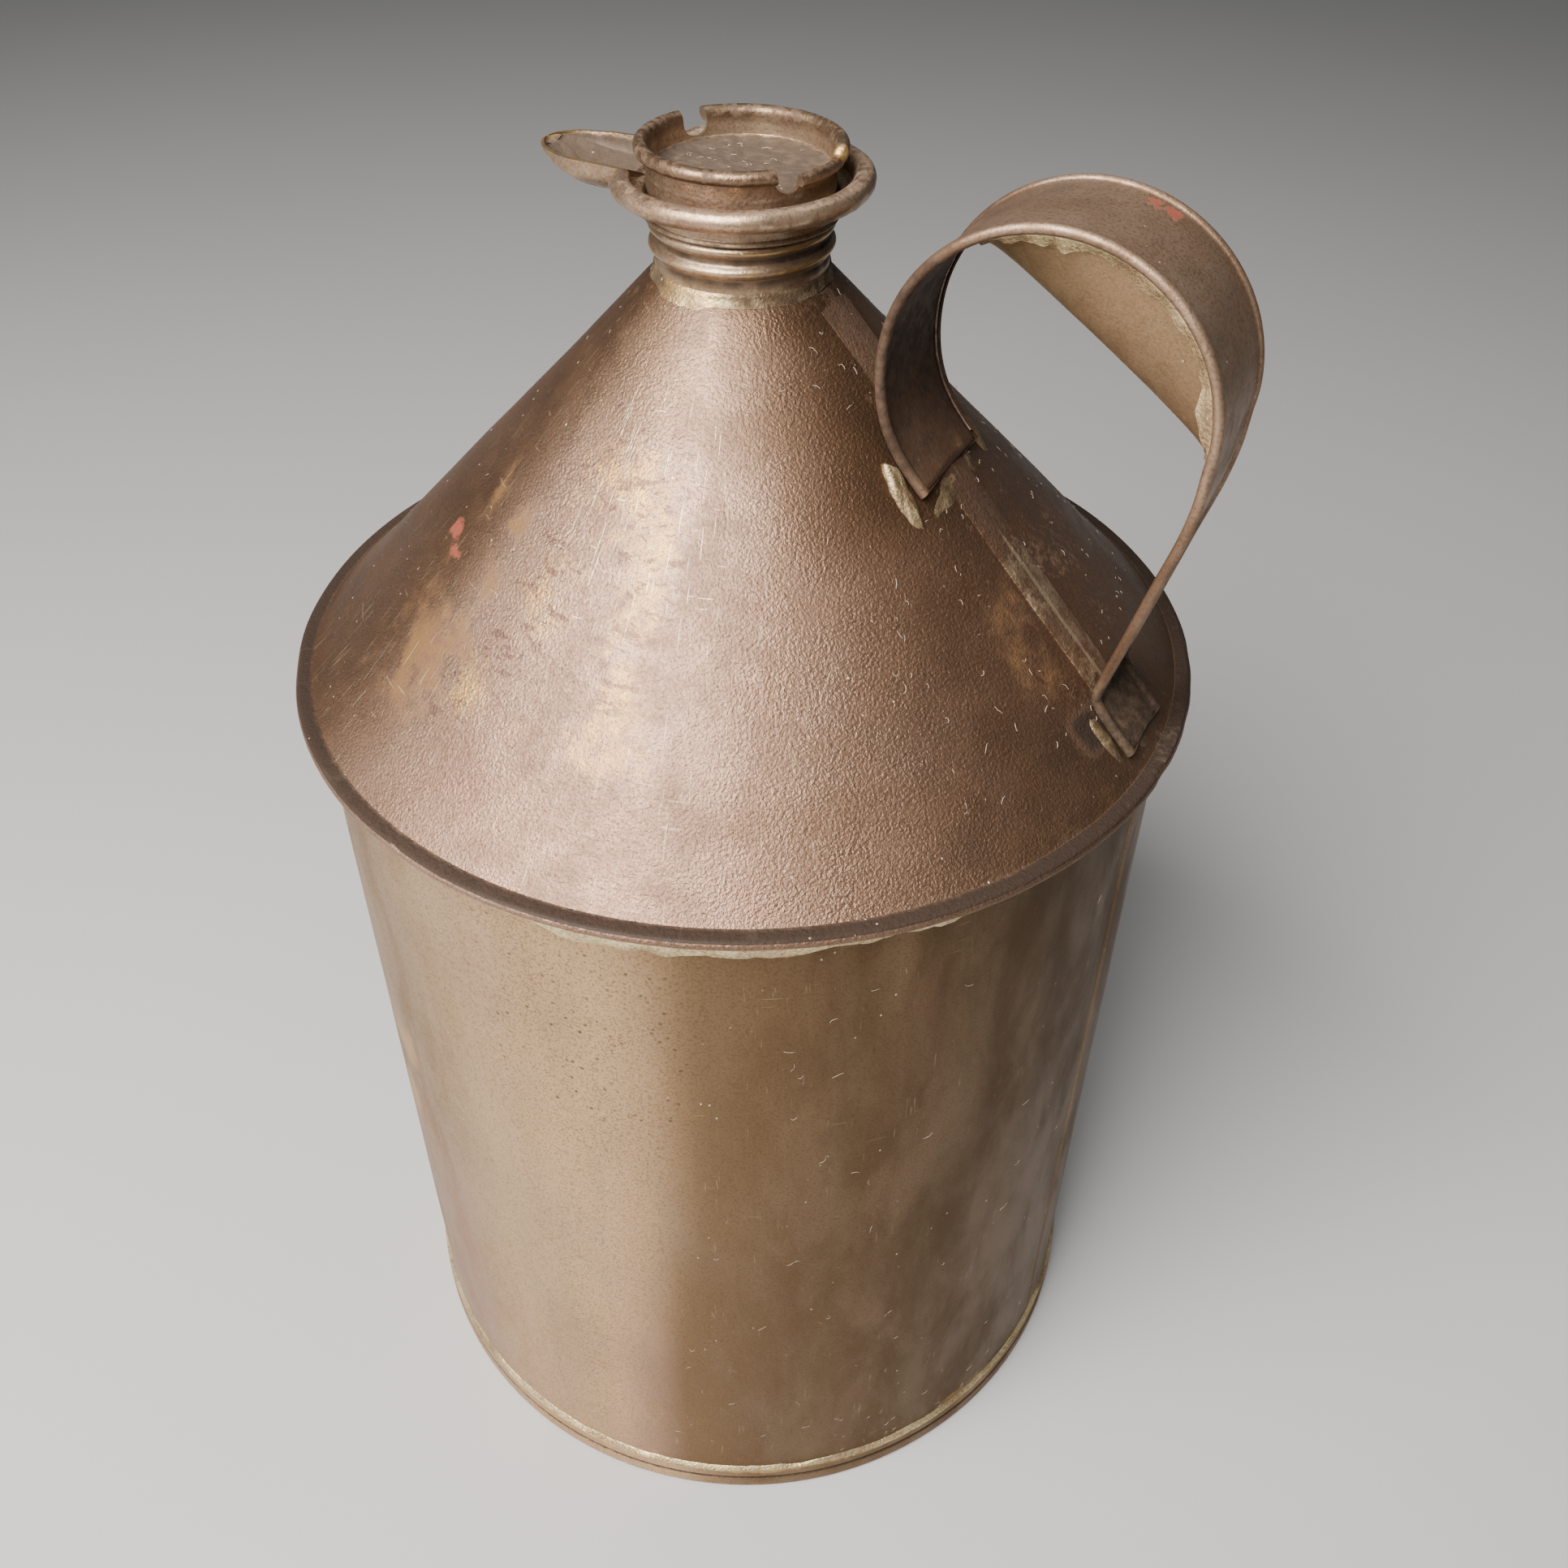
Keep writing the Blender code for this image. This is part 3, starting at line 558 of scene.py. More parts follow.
def build_body():
    middle = BODY_R - SHEET / 2
    top = RIM_Z - 1.55 * SHEET
    path = rounded([(middle, BODY_LOW[2] + 0.4), (middle, top), (BODY_HIGH[0] - 0.4, top)], 1.3, 5)

    def warp(r, z, a):
        p = at(r, a, z)
        window = ramp(z, 14, 34) * ramp(z, 238, 222)
        dent = (0.13 * noise(p, 55, 3) + 0.04 * noise(p, 21, 4)) * window
        across = r * a
        fold = bump(across, 0, 4.9, 0.9) * 0.5 - bump(across, -5.5, 0.15, 0.5) * 0.12
        fold = fold * ramp(z, 12.5, 14.5) * ramp(z, 240, 236)
        return r + dent + fold, z

    az = azimuths(FACETS, [(0, 4, 0.2)])
    can = lathe("body_sheet", sheet(path, SHEET), az, ["body_shell"], warp)
    p, r, a, z = polar(can)
    cloud, n2, n3 = clouds(p, 11, 34, 12, 6)
    # Painted shade: the wall is much darker on the side turned from the key light, and a little darker
    # towards the far left, round the lit band.
    shift = 5.5 * ramp(z, 165, 40)
    painted_shade_side = ramp(a, -79 - shift, -65.5 - shift) * ramp(a, 112, 80)
    deep = painted_shade_side * (0.85 + 0.11 * ramp(a, -50, -15) + 0.03 * cloud)
    deep = deep + (1 - painted_shade_side) * (0.03 + 0.16 * ramp(a, -94, -120) + 0.12 * cloud)
    # Painted highlight: a lighter line along each edge of the side seam.
    deep = deep - 0.3 * bump(np.abs(r * np.radians(a)), 5.2, 0.3, 0.7) * ramp(z, 60, 90)
    worn = 0.62 * bump(a, -122, 3, 5) * bump(z, 128, 22, 26) * (0.8 + 0.9 * n2)
    worn = worn + 0.5 * bump(z, 10, 4, 3) * ramp(n2, -0.3, 0.4)
    rust = 0.4 * bump(a, -121, 5, 5) * bump(z, 118, 40, 26) * ramp(n2, 0, 0.5)
    grime = 0.35 * ramp(z, 235, 241)
    pits = bump(a, -82, 11, 8) * bump(z, 200, 26, 24) * (0.6 + 0.8 * n2) + 0.5 * ramp(n2, 0.3, 0.7)
    scratch = 0.28 * ramp(n3, 0.1, 0.6)
    dust = 0.1 * (1 + n3)
    blush = 0.9 * bump(a, -119, 7, 7) + 0.35 * bump(a, -78, 3, 4)
    dress(can, STEEL_BODY, deep=deep, worn=worn, rust=rust, grime=grime, pits=pits,
          scratch=scratch, dust=dust, smudge=0.25 * ramp(cloud, 0, 0.5) * (1 - painted_shade_side),
          blush=blush * ramp(z, 150, 70) * (0.9 + 0.5 * n2))


def build_base():
    inner = BODY_R + 0.3
    wall = BODY_R - SHEET - 0.3
    outline = rounded(
        [(0, 6), (wall - 2.6, 6), (wall - 1.2, 4.8), (wall - 1, 2), (PAN_R - 3, 0),
         (PAN_R - 0.4, 0), (PAN_R, 1.2), (PAN_R, 4.6), (PAN_R - 0.45, 5.2), (PAN_R - 0.45, 5.8),
         (PAN_R - 0.1, 6.4), (PAN_R - 0.1, PAN_HIGH[2]), (inner, PAN_HIGH[2]), (inner, 2.1),
         (wall, 2.1), (wall, 6.7), (0, 6.7)],
        [0, 2, 1, 1, 0.8, 0.9, 1.2, 0.6, 0.3, 0.3, 0.5, 0.35, 0.35, 0.2, 0.2, 1, 0], 14)

    def warp(r, z, a):
        p = at(r, a, z)
        dent = 0.1 * noise(p, 30, 21) * ramp(r, 104, 105)
        floor = 0.5 * noise(p, 50, 22) * ramp(r, 95, 80) * ramp(r, 0, 6)
        return np.minimum(r - np.abs(dent), PAN_R), z + floor

    pan = lathe("base_pan_rim", outline, azimuths(FACETS), ["base_pan"], warp, closed=False)
    p, r, a, z = polar(pan)
    worn = 0.55 * ramp(z, 6.4, 8.2) + 0.35 * bump(z, 2.6, 1.2, 1.2) + 0.2 * fbm(p, 12, 23)
    grime = 0.75 * bump(z, 5.5, 0.5, 0.5) + 0.6 * ramp(z, 1.6, 0.4)
    # Painted shade: darker on the side turned from the key light, matching the wall.
    deep = 0.75 * ramp(a, -76, -60) * ramp(a, 112, 80) + 0.2 * fbm(p, 20, 24)
    under = ramp(r, 103, 101)
    dress(pan, STEEL_BODY, worn=worn * (1 - under), grime=np.maximum(grime, 0.35 * under),
          deep=np.maximum(deep, 0.6 * under), rust=0.5 * under * ramp(fbm(p, 25, 25), -0.2, 0.6))

    foot = PAN_HIGH[2] + 0.1
    outline = [(BODY_R - 0.1, foot - 0.5), (PAN_R - 0.15, foot - 0.4), (PAN_R - 0.35, foot + 0.15),
               (BODY_R + 0.55, foot + 0.5), (BODY_R + 0.3, foot + 1.1), (BODY_R - 0.1, foot + 1.4)]

    def run(r, z, a):
        p = at(r, a, 0 * z)
        size = 0.75 + 0.45 * noise(p, 9, 26) + 0.25 * noise(p, 3, 27)
        lift = (z - foot) * np.clip(size, 0.25, 1.4)
        return r, foot + np.where(z > foot, lift, z - foot)

    bead = lathe("base_solder_run", outline, azimuths(300), ["base_solder"], run)
    p = coords(bead)
    dress(bead, SOLDER, deep=0.35 + 0.5 * fbm(p, 14, 28), grime=0.25 * fbm(p, 10, 29))


# ---- conical top

# azimuth, half width in degrees, and depth of each knock in the flange
RIM_KNOCKS = ((8, 2, 0.22), (15, 1.6, 0.12), (22, 2.2, 0.16), (-104, 4, 0.2),
              (-142, 5, 0.3), (78, 4, 0.5), (151, 6, 0.4), (-3, 1.6, 0.4))


def build_cone():
    start = above_cone(19.7, -SHEET / 2)
    level = RIM_Z - SHEET / 2
    path = rounded([start, above_cone(95, -SHEET / 2), (RIM_IN + 0.65, level),
                    (SHOULDER_R - RIM_BEND, level)], [0, 8, 0.8, 0], 2)
    path += arc((SHOULDER_R - RIM_BEND, RIM_Z - RIM_BEND), RIM_BEND - SHEET / 2, 84, 0, 8)
    corner = TOP_LOW[2] + SHEET / 2 + 0.6
    outer_r = SHOULDER_R - SHEET / 2
    path += rounded([(outer_r, corner + 0.6), (outer_r, corner), (106.2, corner)], 0.5, 1)[1:]

    def warp(r, z, a):
        p = at(r, a, z)
        deg = np.degrees(a)
        window = ramp(r, 22, 32) * ramp(r, 104, 96)
        dent = (0.28 * noise(p, 38, 31) + 0.1 * noise(p, 13, 32)) * window
        rim = ramp(r, 105.5, 108.5)
        knock = np.zeros_like(r)
        for centre, half, depth in RIM_KNOCKS:
            knock += depth * np.exp(-((deg - centre) / half) ** 2)
        knock += 0.1 + 0.1 * noise(p, 16, 33)
        drop = rim * 0.3 * np.clip(knock - 0.2, 0, 2)
        return r + dent * 0.727 - rim * np.clip(knock, 0, 2), z + dent * 0.687 - drop

    top = lathe("cone_sheet", sheet(path, SHEET), azimuths(288), ["cone_top"], warp)
    p, r, a, z = polar(top)
    n1, n2, n3 = clouds(p, 34, 22, 9, 4)
    outer = ramp(z - cone_z(np.clip(r, 19, 107)), -0.6, -0.2)
    plate = ramp(a, -121, -106) * ramp(a, -70.5, -75) * ramp(r, 34, 44) * ramp(r, 94, 82)
    worn = plate * (0.52 + 0.26 * n1 + 0.24 * n2) * (1 - 0.5 * ramp(a, -108, -122))
    rust = (0.44 * bump(a, -11, 3, 6) * bump(r, 78, 5, 9) * (0.9 + 0.3 * n2)
            + 0.22 * bump(a, -14, 16, 10) * (1 + n1))
    rust = rust + 0.5 * bump(a, -114, 6, 6) * bump(r, 82, 5, 5) * (0.6 + 1.2 * n3)
    rust = rust + 0.46 * bump(a, -122, 8, 6) * bump(r, 68, 24, 12) * (0.9 + 0.6 * n2)
    rust = rust + 0.3 * bump(a, -104, 24, 10) * bump(r, 52, 14, 8) * ramp(n2, 0.1, 0.6)
    smudge = (bump(a, -90, 15, 5) * bump(r, 58, 18, 6) * (0.95 + 1.5 * n2)
            + 0.8 * bump(a, -110, 7, 5) * bump(r, 83, 6, 4))
    scratch = bump(a, -84, 14, 7) * bump(r, 50, 13, 7) * (0.9 + 0.5 * n2) + 0.25 * bump(a, -100, 40, 20)
    # Darker towards the right: partly the patina's edge beside the worn plate, partly painted shade on
    # the side turned from the key light.
    deep = (0.12 + 0.27 * ramp(a, -76, -68) + 0.37 * ramp(a, -58, -18)) * ramp(a, 110, 80) + 0.16 * n1
    deep = deep + 0.2 * bump(a, -85, 26, 14) * ramp(r, 46, 34)
    deep = deep + 0.3 * bump(a, -20, 26, 14) * bump(r, 38, 12, 10)
    deep = deep + 0.75 * ramp(a, -108, -132) * ramp(a, -200, -150) + 0.25 * ramp(r, 28, 21)
    deep = deep * (1 - 0.75 * plate)
    # The level flange is painted near black: dirt that gathers there and a painted dark reflection of
    # the room; a thin line at its edge is left bare.
    band = ramp(r, RIM_IN + 0.7, RIM_IN + 1.2)
    edge_line = bump(z, RIM_Z - 1.75, 0.1, 0.3) * ramp(r, 108.8, 109.1)
    grime = 1.05 * band * (1 - 0.85 * edge_line) + 0.08 * band * n2
    # Dirt and painted shadow beside the lower foot of the strap.
    grime = grime + 0.85 * bump(a, -3, 6, 4) * bump(r, 94.5, 2, 2.5) * (0.8 + 0.6 * n3)
    grime = grime + 0.35 * bump(a, 2, 26, 20) * ramp(r, 60, 90) * (0.5 + 0.7 * n2)
    grime = np.where(outer < 0.5, 0.25, grime)
    dust = (0.32 * ramp(a, -34, 0) * ramp(a, 60, 40) * (0.55 + 0.8 * n2)
            + 0.25 * ramp(r, 30, 20) * (0.6 + n3))
    dust = dust + 0.1 * (1 + n2) + 0.1 * ramp(a, -100, -130) * (1 + n3)
    red = 0.62 * bump(a, -131, 4, 4) * bump(r, 67.5, 1.4, 2.6) * (0.85 + 0.8 * n3)
    tin = 0.55 * bump(a, 0, 9, 5) * bump(r, 52.5, 1, 2.5) * (0.75 + 0.6 * n3)
    dress(top, STEEL_CONE, worn=worn * outer, rust=rust * outer, deep=deep, grime=grime,
          dust=dust * outer, red=red * outer,
          tin=tin * outer, smudge=smudge * outer, scratch=scratch * outer,
          pits=0.4 * ramp(n2, 0.25, 0.6) * outer)

    rows = []
    for radius in np.concatenate([np.linspace(21.5, 46, 14), np.linspace(48, 96.5, 30)]):
        upper, lower = [], []
        for s in np.linspace(-1, 1, 21):
            y = SEAM_HALF * s
            ridge = 0.42 * (1 - abs(s) ** 6) * (1 if s < 0.05 else 0.62)
            ridge += 0.1 * noise_at((radius, y, 0), 3.5, 41)
            ridge *= 0.35 + 0.65 * float(ramp(radius, 40, 50))
            upper.append(on_cone(radius, y, 0.12 + max(0.05, ridge)))
            lower.append(on_cone(radius, y, -0.25))
        rows.append(upper + lower[::-1])
    strip = loft("cone_lap_seam", rows, ["cone_seam"], sharp=70)
    p, r, a, z = polar(strip)
    line = bump(p[:, 1], 0.3, 0.35, 0.4)
    n2 = fbm(p, 6, 42)
    dress(strip, STEEL_CONE, tin=0.5 * ramp(r, 62, 68) * (0.9 + 0.2 * n2)
          + 0.55 * line * (0.7 + 0.5 * n2),
          # Darker towards both ends; beside the lower strap foot this is dirt and painted shadow.
          deep=0.55 + 0.35 * n2, grime=0.35 * ramp(r, 60, 48) + 0.55 * ramp(r, 90, 94),
          dust=0.25 + 0.3 * n2)


def build_shoulder_solder():
    top = TOP_LOW[2] + 0.5
    outline = [(BODY_R - 0.2, top), (BODY_R - 0.2, top - 7), (BODY_R + 0.28, top - 6.6),
            (BODY_R + 0.5, top - 4.6),
               (BODY_R + 0.9, top - 2.4), (BODY_R + 2, top - 0.9), (BODY_R + 3.2, top - 0.1)]

    def run(r, z, a):
        deg = np.degrees(a)
        p = at(100, a, 0 * z)
        size = 0.42 + 0.22 * noise(p, 17, 51) + 0.14 * noise(p, 5, 52) + 0.08 * noise(p, 2, 53)
        front = 0.52 * bump(deg, -62, 34, 22)
        size = np.clip(size + front, 0.12, 1.15)
        near_seam = bump(r * a, 0, 6, 1.5) * 0.45
        return r + near_seam, top + (z - top) * size

    bead = lathe("shoulder_solder_run", outline, azimuths(400), ["shoulder_solder"], run)
    p, r, a, z = polar(bead)
    front = bump(a, -62, 38, 24)
    dress(bead, SOLDER, deep=0.75 - 0.65 * front + 0.45 * fbm(p, 7, 54),
          grime=0.3 * (1 - front) + 0.3 * fbm(p, 5, 55),
          worn=0.3 * front * (1 + fbm(p, 4, 56)))


# ---- neck, ring and lip

NECK_R = 18.4
BEAD_R = NECK_HIGH[0]
MOUTH_Z = NECK_HIGH[2]
BEADS = (339.9, 344.1)


def build_neck():
    path = []
    for z in np.concatenate([np.arange(NECK_LOW[2] + 0.4, 337.5, 0.9),
                             np.arange(337.6, 346.6, 0.28),
                             np.arange(346.8, MOUTH_Z - 0.3, 0.4)]):
        swell = min(1, sum(exp(-((z - bead) / 1.05) ** 2) for bead in BEADS))
        flare = 0.25 * float(ramp(z, 345.6, 346.6))
        path.append((NECK_R - SHEET / 2 + (BEAD_R - NECK_R) * swell + flare, z))

    def warp(r, z, a):
        p = at(r, a, z)
        tilt = 0.18 * np.sin(a + 0.6) * ramp(z, 337, 339) * ramp(z, 347, 345.5)
        return r + 0.06 * noise(p, 7, 61), z + tilt

    neck = lathe("neck_sheet", sheet(path, SHEET), azimuths(128), ["neck_tube"], warp)
    p, r, a, z = polar(neck)
    n2 = fbm(p, 5, 62)
    # The grooves beside the beads are darker: grime with painted shade in the crevices.
    groove = bump(z, 342, 0.4, 0.7) + bump(z, 337.4, 0.5, 0.7) + bump(z, 346.3, 0.4, 0.6)
    crest = bump(z, BEADS[0], 0.4, 0.7) + bump(z, BEADS[1], 0.4, 0.7)
    dress(neck, STEEL_PARTS, deep=0.2 + 0.4 * n2 + 0.8 * groove, grime=0.75 * groove * (0.8 + 0.5 * n2),
          worn=0.5 * crest + 0.55 * ramp(z, 337, 335) * bump(a, -85, 45, 30) + 0.15 * n2,
          dust=0.15 * (1 + n2))

    base = float(cone_z(NECK_R + 0.3))
    outline = [(NECK_R - 0.3, base + 1.7), (NECK_R + 0.3, base + 1.5), (NECK_R + 0.6, base + 0.6)]
    outline += [(x, on_cone(x, 0, lift)[2])
                for x, lift in ((19.3, 0.5), (19.8, 0.25), (20.5, -0.12), (20.1, -0.4))]
    outline.append((NECK_R - 0.3, base - 0.5))

    def run(r, z, a):
        deg = np.degrees(a)
        p = at(20, a, 0 * z)
        big = 0.25 + 0.65 * bump(deg, -102, 12, 14) + 0.25 * noise(p, 5, 63) + 0.15 * noise(p, 2, 64)
        free = r > NECK_R + 0.5
        reach = NECK_R + (r - NECK_R) * np.where(free, 0.35 + 0.65 * np.clip(big, 0.12, 1.15), 1)
        return reach, z + np.where(free, (r - reach) * SLOPE, 0)

    fillet = lathe("neck_solder_run", outline, azimuths(160), ["neck_solder"], run,
                   sharp=80)
    p, r, a, z = polar(fillet)
    front = bump(a, -98, 16, 16)
    dress(fillet, SOLDER, deep=0.95 - 0.3 * front + 0.5 * fbm(p, 3, 65),
          grime=0.5 - 0.28 * front + 0.4 * fbm(p, 2.5, 66), worn=0.55 * front)
    cad_look("neck_ferrule", BRASS)


RING_OPEN = 153     # degrees each side of +X at which the rolled rim stops for the lip


def build_ring():
    skirt = 19.6
    dish = rounded([(skirt + 0.5, 345.9), (skirt, 346.6), (skirt, MOUTH_Z - 0.2),
            (skirt + 0.8, MOUTH_Z + 0.9),
                    (22, MOUTH_Z + 1.3), (22.75, MOUTH_Z + 2.2)], [0, 0.5, 1, 1.2, 0.8, 0], 0.7)

    def dish_warp(r, z, a):
        p = at(r, a, z)
        return r + 0.05 * noise(p, 6, 71), z + 0.05 * noise(p, 5, 72)

    bowl = lathe("ring_dish", sheet(dish, SHEET), azimuths(128), ["drip_ring"], dish_warp)
    p = coords(bowl)
    n2 = fbm(p, 4, 73)
    # The skirt is darker at its foot against the neck: grime with painted shade in the crevice.
    dress(bowl, STEEL_PARTS, deep=0.35 + 0.3 * n2,
          dust=0.5 * ramp(p[:, 2], 349.2, 350.4) + 0.3 * n2,
          grime=0.4 * ramp(p[:, 2], 347, 346) + 0.2 * n2)

    centre, roll = (24.95, 352.55), 1.95
    path = rounded([(22.3, MOUTH_Z + 1.5), (22.8, MOUTH_Z + 2.4), (22.95, 352.3)], 0.6, 0.6)
    path += arc(centre, roll, 176, -150, 24)
    base_r, base_z = np.array(sheet(path, SHEET)).T
    rings = []
    for deg in np.linspace(-RING_OPEN, RING_OPEN, 260):
        a = radians(deg)
        near_end = float(ramp(abs(deg), RING_OPEN - 16, RING_OPEN))
        spot = (25 * cos(a), 25 * sin(a), 0)
        wob = 0.1 * noise_at(spot, 7, 74)
        dip = 0.28 * sin(a + 0.4) - 0.7 * near_end
        r = base_r + wob - 0.25 * near_end * (base_r - 22.5)
        flute = noise_at(spot, 1.7, 77)
        r = r + 0.13 * flute * ramp(base_r, 25.6, 26.4) * ramp(base_z, 353.2, 352)
        z = base_z + wob + np.where(base_z > 350.6, dip * (base_z - 350.6) / 4, 0)
        rings.append(at(r, a, z))
    rim = loft("ring_rolled_rim", rings, ["drip_ring"], sharp=60)
    p, r, a, z = polar(rim)
    n2, n3 = clouds(p, 75, 5, 2)
    dress(rim, STEEL_PARTS, deep=0.2 + 0.4 * n2, worn=0.28 * bump(r, 26, 0.7, 1) + 0.22 * n3,
          dust=0.55 * ramp(z, 353.2, 354.6) * (0.8 + 0.7 * n2) + 0.3 * ramp(r, 24, 23),
          grime=0.3 * ramp(z, 351.6, 350.6))


LIP_ROOT, LIP_TIP = -21, LIP_LOW[0] + 0.25


def lip_at(t):
    """Place along X, half width and depth of the lip, from 0 at its root to 1 at its tip."""
    half = 10.4 * (1 - 0.17 * t) * sqrt(max(0, 1 - t**4.6))
    depth = 0.8 + 6.9 * (1 - t**3.4) * (0.86 + 0.14 * sin(pi * t))
    return LIP_ROOT + (LIP_TIP - LIP_ROOT) * t, half, depth


def build_lip():
    rim_z = LIP_HIGH[2]
    across = 31
    rings = []
    for t in np.concatenate([np.linspace(0, 0.86, 34), np.linspace(0.875, 0.996, 16)]):
        x, half, depth = lip_at(t)
        rim = rim_z - 0.5 * exp(-((t - 0.55) / 0.3) ** 2) + 0.15 * sin(5 * t)
        outer, inner = [], []
        for i in range(across):
            ang = pi * i / (across - 1)
            side, down = cos(ang), sin(ang) ** 0.72
            wob = 0.1 * noise_at((x, side * half, depth * down), 4, 81)
            lean = 1 + 0.04 * (1 - down)
            outer.append((x - 0.12 * down, side * half * lean + wob, rim - depth * down + wob))
            hem = 0.95 if down < 0.25 else SHEET
            inner.append((x + 0.15, side * max(0.15, half * lean - hem) + wob,
                          rim + 0.05 - max(0.1, depth - SHEET) * down + wob))
        rings.append(outer + inner[::-1])
    trough = loft("pour_lip_trough", rings, ["pour_lip"], sharp=75)
    p = coords(trough)
    x, y, z = p.T
    n2, n3 = clouds(p, 82, 4, 1.8)
    edge = ramp(z, rim_z - 1.1, rim_z - 0.3)
    normals = np.array([v.normal[:] for v in trough.data.vertices])
    inward = np.maximum(normals[:, 2], -normals[:, 1] * np.sign(y))
    inside = ramp(inward, 0.15, 0.45) * (1 - edge)
    dress(trough, STEEL_PARTS, deep=0.3 + 0.35 * n2,
          worn=0.62 * edge * (0.8 + 0.6 * n3) + 0.7 * ramp(x, -45.5, -47.5) + 0.25 * n2,
          dust=0.95 * inside + 0.25 * n2, grime=0.5 * inside + 0.6 * n3 * inside + 0.2 * n3)

    rows = []
    for t in np.linspace(0.03, 0.93, 30):
        x, half, depth = lip_at(t)
        half -= 0.9
        fill = rim_z - depth * 0.62
        upper, lower = [], []
        for s in np.linspace(-1, 1, 15):
            spot = (x, s * half, 0)
            wob = 0.16 * noise_at(spot, 2.2, 84) + 0.1 * noise_at(spot, 0.9, 85)
            upper.append((x, s * half * 0.9, fill + 0.9 * abs(s) ** 3 + wob))
            lower.append((x, s * half * 0.8, fill - 0.9))
        rows.append(upper + lower[::-1])
    silt = loft("lip_silt", rows, [], sharp=80)
    dress(silt, STEEL_PARTS, dust=0.95, grime=0.5 + 0.7 * fbm(coords(silt), 1.6, 86), deep=1)


# ---- cap

PITCH = 4
NOTCH_ANGLES = (149.5, -33.6)
CUP_FLOOR = 354.2
ROOT_R, CREST = 14.6, 1.25       # the plug between threads, and how far they stand out


def helix(a, z, width=0.5):
    phase = (z / PITCH - a / tau) % 1
    distance = np.minimum(phase, 1 - phase) * PITCH
    return ramp(distance, width / 2 + 0.35, width / 2 - 0.05)


